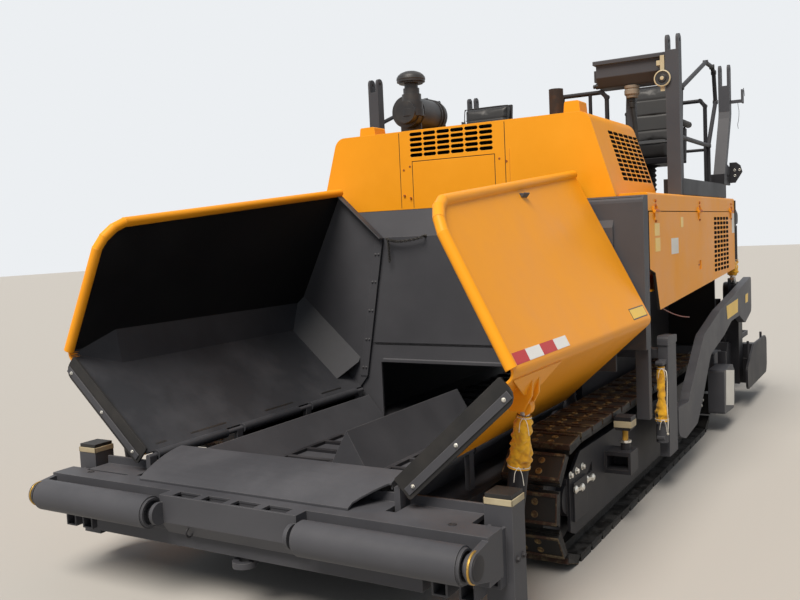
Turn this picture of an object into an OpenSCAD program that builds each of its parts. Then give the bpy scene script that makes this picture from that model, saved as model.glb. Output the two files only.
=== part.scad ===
// Tracked asphalt paver with a folding hopper, a slat conveyor, side tow arms and a floating screed.
// Stations are lengths behind the push beam's front face. Heights are above the ground.
// The paver faces -Y. Its left side is +X.

/* [Overall] */
// Station of the walkway's rear edge
rear_end = 6840; // [6760:10:6900]

/* [Push beam] */
// Half the width of the push beam
beam_half = 1319; // [1300:1:1330]
// Height of the push beam's top face
beam_top = 566; // [550:1:575]
// Depth of the push beam from front to rear
beam_deep = 134; // [120:1:150]
// Height of the push beam's section
beam_high = 206; // [180:1:230]
// Radius of a push roller
roller_r = 80; // [60:1:85]
// Height of the push rollers' axis
roller_z = 477; // [465:1:490]
// How far the rollers' axis is ahead of the beam's face
roller_ahead = 101; // [95:1:110]
// Distance of a roller's inner end from the middle
roller_in = 450; // [440:1:480]
// Radius of a push roller's axle
roller_axle_r = 25; // [15:1:35]
// Side of a corner post's square tube
post_side = 130; // [110:1:140]
// Height of a corner post's rubber top
corner_top = 680; // [670:1:690]

// Radius of the hole in the tow eye
tow_eye_r = 27; // [20:1:32]
// Height of the tow eye's middle
tow_eye_z = 245; // [235:1:255]
// Station of the tow eye's hole
tow_eye_y = 40; // [30:1:50]

/* [Hopper] */
// Distance of a wing's hinge line from the middle
hinge_x = 783; // [775:1:790]
// Height of a wing's hinge line
hinge_z = 650; // [645:1:660]
// Station of the front end of the hinge line
hinge_front = 195; // [190:1:220]
// Station of the hopper's rear wall
hopper_rear = 2340; // [2330:1:2360]
// Width of a wing's floor from hinge line to fold
floor_len = 800; // [780:1:820]
// Slope of a wing's floor from the horizontal
floor_slope = 42.4; // [41:0.1:44]
// Lean of a wing's side wall from the vertical
wall_lean = 27; // [25:0.5:29]
// Height of a side wall along its slope at the front
wall_front = 811; // [780:1:830]
// Height of a side wall along its slope at the rear
wall_rear = 1045; // [1000:1:1060]
// Thickness of the wing's plates
wing_t = 12; // [8:1:14]
// Radius of the rim tube round the side wall
rim_r = 28; // [22:1:32]
// Radius of the bend between a wing's floor and wall
fold_r = 45; // [30:1:60]
// Radius of the rim's bend at the top front corner
rim_bend = 200; // [150:1:240]
// Leg of the chamfer box between floor and side wall
wing_chamfer = 140; // [100:5:160]
// Height where the rear wall's top lip folds back
lip_z = 1777; // [1760:1:1800]
// Radius of a hinge rod
hinge_rod_r = 15; // [12:1:17]
// Radius of the hinge knuckles
knuckle_r = 28; // [24:1:30]
// Half the width of the front apron
apron_half = 720; // [690:1:730]
// Height of the apron's hinge
apron_z = 655; // [645:1:670]
// Station of the apron's hinge
apron_hinge_y = 385; // [370:1:400]

/* [Conveyor] */
// Half the width of the conveyor tunnel
tunnel_half = 600; // [560:5:620]
// Height of the conveyor's floor
conveyor_floor = 455; // [440:1:470]
// Height of the divider's ridge over the conveyor
divider_top = 693; // [670:1:720]
// Half the width of the divider at its foot
divider_half = 140; // [120:1:160]
// Number of slats on a conveyor's upper run
slat_count = 22; // [16:1:26]

/* [Tracks] */
// Distance of a track's inner edge from the middle
track_in = 920; // [910:1:935]
// Width of a track's shoes
shoe_w = 320; // [280:1:325]
// Overall height of a track
track_h = 680; // [660:1:680]
// Station of a track's front
track_front = 950; // [900:10:1000]
// Station of a track's rear
track_back = 4770; // [4700:10:4800]
// Number of shoes on a track
shoe_count = 43; // [38:1:46]
// Thickness of a shoe plate with its pad
shoe_t = 42; // [36:1:46]
// Thickness of the link chain under the shoes
chain_t = 45; // [35:1:55]

/* [Engine housing] */
// Half the width of the hood's foot
hood_foot_half = 1144; // [1120:1:1160]
// Half the width of the hood's top
hood_top_half = 974; // [940:1:1000]
// Height of the hood's foot and of the deck
deck_z = 1970; // [1960:1:1980]
// Height of the hood's top
hood_top = 2530; // [2500:1:2560]
// Station of the hood's rear foot
hood_rear = 3464; // [3455:1:3480]
// Radius of the hood's upper edges
hood_round = 90; // [60:1:110]
// Distance of the air filter's axis from the middle, to the right
filter_x = -600; // [-640:1:-560]
// Height of the air filter's axis
filter_z = 2733; // [2700:1:2750]
// Distance of the exhaust pipe from the middle, to the left
exhaust_x = 590; // [560:1:620]
// Sheet thickness of hood and doors
sheet_t = 20; // [12:1:25]
// Distance of the cabinets' outer face from the middle
cabinet_x = 1330; // [1320:1:1334]
// Station of the cabinets' front
cabinet_front = 2470; // [2460:1:2490]
// Station of the cabinets' rear end
cabinet_rear = 5460; // [5440:10:5470]
// Height of the doors' top seam
door_seam = 1870; // [1850:1:1890]
// Height of the cabinets' lower edge at the front
cabinet_low_front = 1220; // [1210:1:1240]
// Height of the cabinets' lower edge at the rear
cabinet_low_rear = 1345; // [1335:1:1360]

/* [Roof posts] */
// Distance of the posts' middle from the machine's middle
post_x = 1270; // [1262:1:1275]
// Radius of the pin holes in the forks on the posts
fork_hole_r = 14; // [10:1:18]
// Height of the pin holes in the front forks
fork_front_z = 3100; // [3080:1:3120]
// Height of the pin holes in the rear forks
fork_rear_z = 3155; // [3140:1:3170]

/* [Screed] */
// Distance of a tow arm's outer face from the middle
arm_x = 1382; // [1378:1:1385]
// Thickness of a tow arm
arm_t = 64; // [56:1:66]
// Station of the tow point
tow_y = 2820; // [2810:1:2830]
// Height of the tow point
tow_z = 420; // [410:1:430]
// Radius of the auger's flights
auger_r = 180; // [150:5:190]
// Height of the auger's axis
auger_z = 420; // [410:1:440]
// Half the width of the screed with its extensions drawn in
screed_half = 1240; // [1225:1:1250]
// Height of the raised screed's sole plate
screed_low = 200; // [195:1:215]

/* [Hidden] */

$fn = 48;

yellow = "#f9a028";
grey = "#4b4b4e";
dark = "#2c2c2e";
black = "#151516";
steel = "#8a8a88";
boot_yellow = "#e8b020";

// Air left between pieces that only face each other
seat_gap = 0.3;
// Air left round a running pin
pin_gap = 0.05;

front_reach = roller_ahead + roller_r;
door_hinges = [2640, 3960, 5280];
hinge_pin_x = cabinet_x + 10;
hinge_pin_z = door_seam - 3;
origin_y = (rear_end - front_reach) / 2;
roller_out = beam_half - 49;
post_out = beam_half + 19;
hood_front = hopper_rear + 80;
frame_half = track_in - 60;
frame_low = 290;
tunnel_top = 860;
wing_rear_y = hopper_rear - 8;
frame_rear = track_back + 150;
auger_y = track_back + 350;
side_box_x = arm_x - 120;
box_front = auger_y - 620;
box_rear = auger_y - 150;
screed_front = auger_y + 280;
screed_rear = screed_front + 460;
arm_rear = screed_rear + 140;
post_half = 48;
rail_x = cabinet_x - 28;
pin_r = 20;
wing_eye = [1290, 488, 1000];
wing_foot = [1175, 488, 200];
lift_top = [1290, screed_front + 160, 1800];
lift_eye = [1290, screed_front + 160, 1230];
guide_tube_r = 60;
guide_bar_r = 45;
guide_y = screed_rear + 140;
guide_z = [520, 650];

// Move stations into the part's frame
module stations() { translate([0, -origin_y, 0]) children(); }
// Draw for the left side, or mirror to the right
module side(s) { if (s > 0) children(); else mirror([1, 0, 0]) children(); }
// Plate with an outline in Y and Z, between x and x + t
module yz_plate(points, x, t) { translate([x, 0, 0]) rotate([90, 0, 90]) linear_extrude(t)
    polygon(points); }
// Plate with an outline in X and Z, between y and y + t
module xz_plate(points, y, t) { translate([0, y + t, 0]) rotate([90, 0, 0]) linear_extrude(t)
    polygon(points); }
// Box from its low corner to its high corner
module block(low, high) { translate(low) cube(high - low); }
// Round bar along X from x0 to x1
module bar_x(x0, x1, y, z, r) { translate([x0, y, z]) rotate([0, 90, 0]) cylinder(h = x1 - x0, r = r); }
// Round bar along Y from y0 to y1
module bar_y(y0, y1, x, z, r) { translate([x, y0, z]) rotate([-90, 0, 0]) cylinder(h = y1 - y0, r = r); }
// Round bar between two points
module bar(a, b, r) {
    v = b - a;
    len = norm(v);
    turn = atan2(v[1], v[0]);
    tilt = acos(v[2] / len);
    translate(a) rotate([0, tilt, turn]) cylinder(h = len, r = r);
}

// Polygon p with each corner rounded to its radius in r, which repeats
function corner(a, p, b, r, n) = r <= 0 ? [p] :
    let (u = (a - p) / norm(a - p), v = (b - p) / norm(b - p), h = acos(u * v) / 2,
        c = p + (u + v) / norm(u + v) * r / sin(h), q = p + u * r / tan(h) - c, e = p + v * r / tan(h) - c,
        a0 = atan2(q[1], q[0]), d = (atan2(e[1], e[0]) - a0 + 540) % 360 - 180)
    [for (i = [0 : n]) c + r * [cos(a0 + d * i / n), sin(a0 + d * i / n)]];
function rounded(p, r, n = 4) = [for (i = [0 : len(p) - 1])
    each corner(p[(i + len(p) - 1) % len(p)], p[i], p[(i + 1) % len(p)], r[i % len(r)], n)];
// Arc from a to b, its middle below for a positive radius when b lies on the right
function arch(a, b, r, n = 8) =
    let (d = b - a, q = [-d[1], d[0]] / norm(d), c = (a + b) / 2 - q * sign(r) * sqrt(r * r - d * d / 4),
        a0 = atan2(a[1] - c[1], a[0] - c[0]), a1 = atan2(b[1] - c[1], b[0] - c[0]))
    [for (i = [0 : n]) c + abs(r) * [cos(a0 + (a1 - a0) * i / n), sin(a0 + (a1 - a0) * i / n)]];

module front_beam() color(grey) stations() {
    low = beam_top - beam_high;
    difference() {
        block([-beam_half, 0, low], [beam_half, beam_deep, beam_top]);
        block([-beam_half + 30, 20, low - 1], [beam_half - 30, beam_deep - 20, beam_top - 20]);
        // Slot for the wing strap at the right end
        block([-beam_half + 140, beam_deep - 22, beam_top - 21],
            [-beam_half + 450, beam_deep + 1, beam_top + 1]);
    }
    // Top plate with its upstand, left open round the wings' hinges
    for (x = [[-hinge_x + 28, hinge_x - 28], [hinge_x + 28, 1180], [-1180, -hinge_x - 28]]) {
        block([x[0], beam_deep - 1, beam_top - 20], [x[1], hinge_front + 70, beam_top]);
        block([x[0], hinge_front + 69, beam_top - 100], [x[1], hinge_front + 84, hinge_z - 40]);
    }
    // Lower crossmember, a channel open at the bottom
    difference() {
        block([-1000, 12, low - 80], [1000, 122, low + 1]);
        block([-985, 32, low - 81], [985, 102, low - 12]);
    }
    // Tow eye on a bent bar under the middle
    difference() {
        union() {
            translate([0, tow_eye_y, tow_eye_z - 15]) cylinder(h = 30, r = 60);
            yz_plate(rounded([[tow_eye_y, tow_eye_z - 15], [115, tow_eye_z - 15], [115, low - 60],
                [85, low - 60],
                [85, tow_eye_z + 15], [tow_eye_y, tow_eye_z + 15]], [0, 34, 0, 0, 8, 0]), -38, 76);
        }
        translate([0, tow_eye_y, tow_eye_z - 16]) cylinder(h = 32, r = tow_eye_r);
    }
    // Middle housing between the rollers: a bent plate hung from the beam by five tabs
    difference() {
        yz_plate([[1, beam_top], [-80, beam_top], [-80, 430], [-35, 365], [-23, 372], [-68, 434],
            [-68, beam_top - 12],
            [1, beam_top - 12]], -roller_in + 40, 2 * roller_in - 80);
        for (i = [-1.5 : 1.5]) block([i * 187 - 70, -66, beam_top - 14], [i * 187 + 70, -2, beam_top + 2]);
    }
    for (s = [-1, 1]) side(s) {
        // Cheek and axle at a roller's inner end
        yz_plate([[1, beam_top], [-80, beam_top], [-80, 430], [-35, 365], [1, 365]], roller_in - 50, 20);
        bar_x(roller_in - 50, roller_in - 30, -roller_ahead, roller_z, 56);
        bar_x(roller_in - 30, beam_half - 4, -roller_ahead, roller_z, roller_axle_r);
        // Outer bracket with its round nose and hub
        bar_x(roller_out + 20, beam_half, -roller_ahead, roller_z, 62);
        yz_plate([[1, roller_z + 75], [-roller_ahead - 8, roller_z + 61],
            [-roller_ahead - 8, roller_z - 61],
            [1, roller_z - 92]], roller_out + 20, beam_half - roller_out - 20);
        bar_x(roller_out + 6, roller_out + 20, -roller_ahead, roller_z, 50);
        // Corner post, a square tube with a rubber block on top
        difference() {
            block([post_out - post_side, 200, 170], [post_out, 200 + post_side, corner_top - 22]);
            block([post_out - post_side + 12, 212, 169], [post_out - 12, 188 + post_side, corner_top - 34]);
        }
        block([post_out - post_side + 4, 204, corner_top - 24],
            [post_out - 4, 196 + post_side, corner_top]);
        // Pocket bracket between beam and post
        for (x = [post_out - post_side + 18, beam_half - 28])
            block([x, beam_deep - 1, 300], [x + 14, 201, 545]);
        block([post_out - post_side + 18, beam_deep - 1, 300], [beam_half - 14, 201, 312]);
        block([frame_half, 220, 300], [post_out - post_side, 300, 480]);
        // Short square tubes under the beam's ends
        for (x = [1042, 1172]) difference() {
            block([x, 12, low - 82], [x + 76, 122, low + 2]);
            block([x + 9, 11, low - 73], [x + 67, 123, low - 9]);
        }
        // Ears and pin that carry the wing cylinder's foot
        for (y = [438, 514]) xz_plate(rounded([[frame_half, 300], [frame_half, 400],
            [wing_foot[0] - 60, 262],
            [wing_foot[0] + 44, 250], [wing_foot[0] + 44, 156], [wing_foot[0] - 60, 156]],
            [0, 0, 30, 30, 40, 30]), y, 24);
        bar_y(450, 526, wing_foot[0], wing_foot[2], pin_r);
    }
}

module main_frame() color(dark) stations() {
    for (s = [-1, 1]) side(s) {
        // Girders under the hopper and beside the tunnel
        block([tunnel_half + 20, beam_deep, frame_low], [frame_half, frame_rear, conveyor_floor - 5]);
        block([frame_half - 40, 2490, conveyor_floor - 5], [frame_half, frame_rear, 1300]);
        // Cross tubes that carry the track frames
        for (y = [1600, 3900]) bar_x(frame_half, track_in + 60, y, 370, 60);
    }
    // Tunnel roof and floor
    block([-frame_half + 40, 2490, tunnel_top], [frame_half - 40, frame_rear, tunnel_top + 30]);
    block([-tunnel_half - 20, 420, frame_low], [tunnel_half + 20, 4900, frame_low + 12]);
}

module bulkhead() color(grey) stations() {
    // Rear wall of the hopper above the tunnel, with its top lip folded back under the hood
    block([-1140, hopper_rear, tunnel_top], [1140, hopper_rear + 20, lip_z]);
    yz_plate([[hopper_rear, lip_z - 4], [hopper_rear + 20, lip_z - 4], [hood_front + 22, deck_z],
        [hood_front + 2, deck_z]],
        -1140, 2280);
    // Lighter folded edge over the tunnel's mouth
    yz_plate([[hopper_rear, tunnel_top], [hopper_rear - 6, tunnel_top + 4],
        [hopper_rear - 6, tunnel_top + 24],
        [hopper_rear, tunnel_top + 30]], -tunnel_half, 2 * tunnel_half);
    for (s = [-1, 1]) side(s) {
        block([tunnel_half + 20, hopper_rear, conveyor_floor], [frame_half, hopper_rear + 20, tunnel_top]);
        // Side plates with a rounded top edge, and the strip outside the track
        difference() {
            yz_plate(rounded([[hopper_rear + 20, 1000], [cabinet_front, 1000], [cabinet_front, deck_z],
                [hopper_rear + 20, deck_z]], [0, 0, 0, 45]), frame_half, cabinet_x - frame_half);
            block([frame_half + 12, hopper_rear + 32, 1012],
                [cabinet_x - 12, cabinet_front + 1, deck_z - 12]);
        }
        difference() {
            block([cabinet_x - 82, hopper_rear + 60, 550], [cabinet_x, hopper_rear + 120, 1001]);
            block([cabinet_x - 83, hopper_rear + 72, 549], [cabinet_x - 14, hopper_rear + 121, 990]);
        }
    }
}

module hopper_floor() color(grey) stations() {
    for (s = [-1, 1]) side(s) {
        xz_plate([[tunnel_half, conveyor_floor], [tunnel_half + 130, 615], [tunnel_half + 130, 600],
            [tunnel_half + 20, conveyor_floor - 5], [tunnel_half, conveyor_floor - 5]], 420, 1900);
        bar_y(hinge_front, wing_rear_y - 20, hinge_x, hinge_z, hinge_rod_r);
        for (y = [hinge_front, 900, 1600, 2240])
            block([hinge_x - 15, y, conveyor_floor - 5], [hinge_x + 15, y + 50, hinge_z]);
    }
    // Front crossmember with the apron's hinge lugs and rod
    block([-tunnel_half, apron_hinge_y + 20, conveyor_floor - 5], [tunnel_half, 420, apron_z - 20]);
    for (x = [-690, -240, 210, 660]) {
        block([x, apron_hinge_y - 8, apron_z - 60], [x + 30, apron_hinge_y + 20, apron_z - 8]);
        bar_x(x, x + 30, apron_hinge_y, apron_z, 11);
    }
    for (s = [-1, 1]) side(s) block([tunnel_half, apron_hinge_y + 20, conveyor_floor - 5],
        [690, 420, apron_z - 50]);
    bar_x(-690, 690, apron_hinge_y, apron_z, 7);
    // Conveyor floor and the ridge over its middle
    block([-tunnel_half, 420, conveyor_floor - 20], [tunnel_half, 4900, conveyor_floor - 5]);
    xz_plate([[-divider_half, conveyor_floor - 5], [0, divider_top],
        [divider_half, conveyor_floor - 5]], 950, 1390);
}

module slat_conveyor() color(black) stations() {
    pitch = (4850 - 480) / slat_count;
    for (s = [-1, 1]) side(s) {
        for (x = [180, 540]) block([x, 480, conveyor_floor - 5 + seat_gap],
            [x + 30, 4850, conveyor_floor + 15]);
        for (i = [0 : slat_count - 1])
            block([180, 490 + i * pitch, conveyor_floor - 5 + seat_gap],
                [570, 520 + i * pitch, conveyor_floor + 15]);
    }
}

module hood_form(t) {
    half_foot = hood_foot_half - t;
    half_top = hood_top_half - t * 1.1;
    intersection() {
        xz_plate(rounded([[-half_foot, deck_z - (t > 0 ? 1 : 0)], [half_foot, deck_z - (t > 0 ? 1 : 0)],
            [half_top, hood_top - t], [-half_top, hood_top - t]],
            [0, 0, hood_round - t, hood_round - t], 8),
            hood_front + t, hood_rear - hood_front - 2 * t);
        yz_plate([[hood_front + t, deck_z - 2], [hood_rear - t, deck_z - 2],
            [hood_rear - 49 - t, hood_top + 1],
            [hood_front + t, hood_top + 1]], -1300, 2600);
    }
}

module slot_y(x, y, z, w, h) xz_plate([[x, z + h / 3], [x + h / 3, z], [x + w - h / 3, z],
    [x + w, z + h / 3],
    [x + w, z + h * 2 / 3], [x + w - h / 3, z + h], [x + h / 3, z + h], [x, z + h * 2 / 3]], y, 60);

module hood() color(yellow) stations() {
    lean = atan2(hood_foot_half - hood_top_half, hood_top - deck_z);
    difference() {
        hood_form(0);
        hood_form(sheet_t);
        // Front grille, six slots by five
        for (i = [0 : 5]) for (j = [0 : 4])
            slot_y(-343 + i * 109.5, hood_front - 20, 2340 + j * 37, 100, 25);
        // Seams of the front panel
        for (x = [-435, 391]) block([x, hood_front - 1, deck_z + 8],
            [x + 5, hood_front + 4, hood_top - 12]);
        block([-333, hood_front - 1, 2306], [318, hood_front + 4, 2311]);
        for (x = [-333, 313]) block([x, hood_front - 1, deck_z + 8], [x + 5, hood_front + 4, 2308]);
        // Side grilles, six slots by eleven
        for (s = [-1, 1]) side(s) translate([hood_foot_half, 0, deck_z]) rotate([0, -lean, 0])
            for (i = [0 : 5]) for (j = [0 : 10]) yz_plate([[2725 + i * 119, 128 + j * 33],
                [2733 + i * 119, 120 + j * 33],
                [2822 + i * 119, 120 + j * 33], [2830 + i * 119, 128 + j * 33],
                [2830 + i * 119, 136 + j * 33],
                [2822 + i * 119, 144 + j * 33], [2733 + i * 119, 144 + j * 33],
                [2725 + i * 119, 136 + j * 33]], -40, 60);
    }
    // Rib beside the front panel and the two covers on top
    block([416, hood_front - 3, deck_z + 10], [426, hood_front, 2335]);
    for (b = [[-786, -649, 2450, 62], [762, 879, 2560, 92]])
        xz_plate(rounded([[b[0], hood_top - 1], [b[1], hood_top - 1], [b[1] - 8, hood_top + b[3]],
            [b[0] + 8, hood_top + b[3]]],
            [0, 0, 14, 14]), b[2], 150);
}

module cabinet(s) color(yellow) stations() side(s) {
    // Top cap above the door, with a rounded outer edge
    for (c = [[hood_foot_half + 6, cabinet_front, hood_rear], [cabinet_x - 40, hood_rear, cabinet_rear]])
        xz_plate(rounded([[frame_half, door_seam], [cabinet_x, door_seam], [cabinet_x, deck_z + 18],
            [c[0], deck_z + 18], [c[0], deck_z], [frame_half, deck_z]],
            [0, 0, 16, 0, 0, 0]), c[1], c[2] - c[1]);
    // Inner wall and end walls
    block([frame_half, cabinet_front, 1300], [frame_half + 20, cabinet_rear, door_seam]);
    block([frame_half + 20, cabinet_front, 1300], [cabinet_x - sheet_t - 2, cabinet_front + 20, door_seam]);
    block([frame_half + 20, cabinet_rear - 20, cabinet_low_rear],
        [cabinet_x - sheet_t - 2, cabinet_rear, door_seam]);
    block([frame_half + 20, cabinet_front + 20, 1345], [cabinet_x - sheet_t - 20, cabinet_rear - 20, 1360]);
    for (y = door_hinges) {
        bar_y(y - 60, y + 60, hinge_pin_x, hinge_pin_z, 5);
        for (e = [-60, 35]) {
            bar_y(y + e, y + e + 25, hinge_pin_x, hinge_pin_z, 10);
            block([cabinet_x, y + e, hinge_pin_z], [cabinet_x + 10, y + e + 25, door_seam + 30]);
        }
    }
}

module engine_door(s) color(yellow) stations() side(s) {
    low = [cabinet_low_front, cabinet_low_rear];
    difference() {
        yz_plate(rounded([[cabinet_front + 20, 1500], [cabinet_front + 150, 1470],
            [cabinet_front + 250, low[0]],
            [cabinet_rear, low[1]], [cabinet_rear, door_seam - 6], [cabinet_front + 20, door_seam - 6]],
            [12, 20, 12, 12, 8, 8]), cabinet_x - sheet_t, sheet_t);
        // Grille, five slots by twelve
        for (i = [0 : 4]) for (j = [0 : 11])
            yz_plate([[4525 + i * 130, 1376 + j * 39], [4534 + i * 130, 1367 + j * 39],
                [4625 + i * 130, 1367 + j * 39],
                [4634 + i * 130, 1376 + j * 39], [4634 + i * 130, 1384 + j * 39],
                [4625 + i * 130, 1393 + j * 39],
                [4534 + i * 130, 1393 + j * 39], [4525 + i * 130, 1384 + j * 39]], cabinet_x - 40, 60);
        // Latch recess
        block([cabinet_x - 8, 3900, 1420], [cabinet_x + 1, 4010, 1490]);
    }
    for (y = door_hinges) difference() {
        union() {
            bar_y(y - 30, y + 30, hinge_pin_x, hinge_pin_z, 10);
            block([cabinet_x, y - 30, door_seam - 60], [cabinet_x + 10, y + 30, hinge_pin_z]);
        }
        bar_y(y - 31, y + 31, hinge_pin_x, hinge_pin_z, 5 + pin_gap);
    }
}

module engine_block() color(steel) stations()
    block([-450, 2650, tunnel_top + 30], [450, 3850, 1750]);

module air_filter() color(black) stations() {
    // Canister with its end caps and strap rings
    bar_y(2830, 3290, filter_x, filter_z, 122);
    for (b = [[2812, 2832, 96], [2900, 2914, 128], [3190, 3204, 128], [3230, 3250, 132], [3288, 3310, 100]])
        bar_y(b[0], b[1], filter_x, filter_z, b[2]);
    // Elbow and neck up to the rain cap
    for (c = [[2690, 2745, 92], [2745, 2800, 86], [2800, 2860, 74], [2860, 2905, 62], [2905, 2940, 52]])
        translate([filter_x + 45, 2850, c[0]]) cylinder(h = c[1] - c[0], r = c[2]);
    bar_y(2765, 2860, filter_x + 30, filter_z - 10, 84);
    for (c = [[2940, 2952, 92], [2952, 2990, 108], [2990, 3004, 84]])
        translate([filter_x + 45, 2850, c[0]]) cylinder(h = c[1] - c[0], r = c[2]);
    // Cradle feet on the hood
    for (y = [2900, 3190]) block([filter_x - 90, y, hood_top], [filter_x + 90, y + 14, filter_z - 60]);
}

module exhaust_pipe() color("#5a3a28") stations() {
    difference() {
        translate([exhaust_x, 2900, hood_top]) cylinder(h = 235, r = 50);
        translate([exhaust_x, 2900, hood_top + 40]) cylinder(h = 300, r = 44);
    }
    translate([exhaust_x, 2900, hood_top]) cylinder(h = 30, r = 68);
}
module deck() color(dark) stations() {
    block([-cabinet_x + 41, hood_rear, deck_z], [cabinet_x - 41, cabinet_rear, deck_z + 20]);
    block([-frame_half + 40, 3900, tunnel_top + 30], [frame_half - 40, 3920, deck_z]);
    block([-frame_half, cabinet_rear - 20, 1300], [frame_half, cabinet_rear, deck_z]);
    // Rear ladder down to the screed
    for (x = [-260, 244]) block([x, cabinet_rear, 900], [x + 16, cabinet_rear + 60, deck_z + 20]);
    block([-244, cabinet_rear, 1960], [244, cabinet_rear + 60, deck_z + 20]);
    for (z = [960 : 260 : 1740]) block([-244, cabinet_rear + 6, z], [244, cabinet_rear + 60, z + 22]);
    for (s = [-1, 1]) side(s) {
        block([1240, cabinet_rear, 1720], [1340, cabinet_rear + 20, deck_z]);
        for (x = [1244, 1314]) yz_plate(rounded([[cabinet_rear + 19, 1750], [lift_top[1] + 46, 1756],
            [lift_top[1] + 46, 1846], [cabinet_rear + 19, 1900]], [0, 40, 30, 0]), x, 22);
        bar_x(1250, 1330, lift_top[1], lift_top[2], pin_r);
    }
}

module seat(s) color(black) stations() side(s) translate([800, 4500, deck_z + 20]) {
    // Pedestal with its slide, pan, back and armrests
    cylinder(h = 300, r = 60);
    block([-200, -190, 0], [200, 190, 12]);
    block([-190, -200, 300], [190, 200, 352]);
    translate([-250, 0, 0]) yz_plate(rounded([[-260, 352], [240, 352], [330, 1010], [245, 1030],
        [150, 470], [-260, 480]],
        [50, 40, 40, 40, 40, 55]), 0, 500);
    for (x = [-330, 262]) {
        yz_plate(rounded([[-160, 600], [250, 600], [250, 660], [-160, 660]], [20, 10, 10, 25]), x, 68);
        block([x + 22, 150, 330], [x + 44, 200, 610]);
        block([min(x + 22, 190), 150, 330], [max(x + 44, -190), 200, 345]);
    }
}

module console() color(black) stations() {
    // Box under an overhanging lid, clamped to the front post
    yz_plate(rounded([[3505, 3002], [3505, 2905], [3560, 2835], [3745, 2835], [3745, 3002]],
        [0, 12, 30, 12, 0]), 690, 520);
    yz_plate(rounded([[3480, 3000], [3765, 3000], [3765, 3030], [3480, 3030]], [0, 0, 8, 8]), 672, 546);
    block([1200, 3506, 2860], [post_x - post_half - seat_gap, 3529, 2960]);
    // Clamp at the inner end and cable socket below
    block([650, 3580, 2890], [691, 3660, 2975]);
    translate([933, 3600, 2765]) cylinder(h = 75, r = 34);
    // Foot on the deck behind the hood
    block([880, 3640, deck_z + 20], [940, 3700, 2836]);
}

module posts(s) color(grey) stations() side(s) difference() {
    union() {
        // Side beam with the front post's box
        difference() {
            block([1180, 3490, deck_z + 20], [cabinet_x - 10, 5140, deck_z + 140]);
            block([1192, 3502, deck_z + 19], [cabinet_x - 22, 5128, deck_z + 128]);
        }
        block([post_x - post_half, 3440, deck_z + 120], [post_x + post_half, 3530, fork_front_z - 70]);
        block([post_x - post_half, 3440, deck_z + 20], [post_x + post_half, 3502, deck_z + 122]);
        // Rear post: foot, raked box, upright box
        yz_plate([[5050, deck_z + 138], [5130, deck_z + 138], [5445, 2690], [5475, 2760],
            [5475, fork_rear_z - 145],
            [5385, fork_rear_z - 145], [5385, 2775], [5365, 2715]], post_x - post_half, 2 * post_half);
        block([1210, 5038, deck_z + 136], [cabinet_x - 4, 5146, deck_z + 230]);
        // Fork plates
        for (x = [post_x - post_half, post_x + post_half - 20]) {
            yz_plate(rounded([[3440, fork_front_z - 72], [3530, fork_front_z - 72],
                [3530, fork_front_z + 45],
                [3440, fork_front_z + 45]], [0, 0, 40, 40]), x, 20);
            yz_plate(rounded([[5385, fork_rear_z - 147], [5475, fork_rear_z - 147],
                [5475, fork_rear_z + 45],
                [5385, fork_rear_z + 45]], [0, 0, 40, 40]), x, 20);
        }
        // Knee gusset and wire bracket
        yz_plate(rounded([[5120, deck_z + 138], [5420, deck_z + 138], [5420, deck_z + 300],
            [5250, deck_z + 330]],
            [0, 20, 20, 20]), post_x + 24, 14);
        block([post_x + post_half - 1, 5440, 2850], [post_x + 150, 5452, 2880]);
        block([post_x + 138, 5440, 2850], [post_x + 150, 5520, 2970]);
    }
    bar_x(post_x - post_half - 1, post_x + post_half + 1, 3485, fork_front_z, fork_hole_r);
    bar_x(post_x - post_half - 1, post_x + post_half + 1, 5430, fork_rear_z, fork_hole_r);
    for (y = [5300, 5370]) bar_x(post_x + 23, post_x + 39, y, deck_z + 220, 16);
}

module tube(p, r, across) {
    for (i = [1 : len(p) - 1]) bar(p[i - 1], p[i], r);
    for (i = [1 : len(p) - 2])
        if (across == "x") bar_x(p[i][0] - r - 2, p[i][0] + r + 2, p[i][1], p[i][2], r + 2);
        else bar_y(p[i][1] - r - 2, p[i][1] + r + 2, p[i][0], p[i][2], r + 2);
}

module hand_rails() color(dark) stations() {
    for (s = [-1, 1]) side(s) {
        // Rail along the deck's side behind the front post
        tube([[rail_x, 3530 + seat_gap, 2770], [rail_x, 3570, 2770], [rail_x, 4447, 3079],
            [rail_x, 4700, 3079], [rail_x, 4770, 3040], [rail_x, 4825, 2800],
            [rail_x, 4500, 2410], [rail_x, 3530 + seat_gap, 2410]], 17, "x");
        bar([rail_x, 4500, deck_z + 140 + seat_gap], [rail_x, 4500, 2410], 16);
        // Rear rail across the deck's end
        tube([[1100, cabinet_rear - 60, deck_z + 20 + seat_gap], [1100, cabinet_rear - 60, 2850],
            [1060, cabinet_rear - 60, 2900],
            [420, cabinet_rear - 60, 2900], [380, cabinet_rear - 60, 2850],
            [380, cabinet_rear - 60, deck_z + 20 + seat_gap]], 18, "y");
        bar([380, cabinet_rear - 60, 2450], [1100, cabinet_rear - 60, 2450], 14);
    }
    // Rail behind the hood
    tube([[385, 3600, deck_z + 20 + seat_gap], [385, 3600, 2812], [700, 3600, 2812], [738, 3600, 2772],
        [738, 3600, deck_z + 20 + seat_gap]], 17, "y");
    bar([608, 3600, deck_z + 20 + seat_gap], [608, 3600, 2812], 14);
}

link_eye_r = chain_t / 2 + 2;
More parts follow.
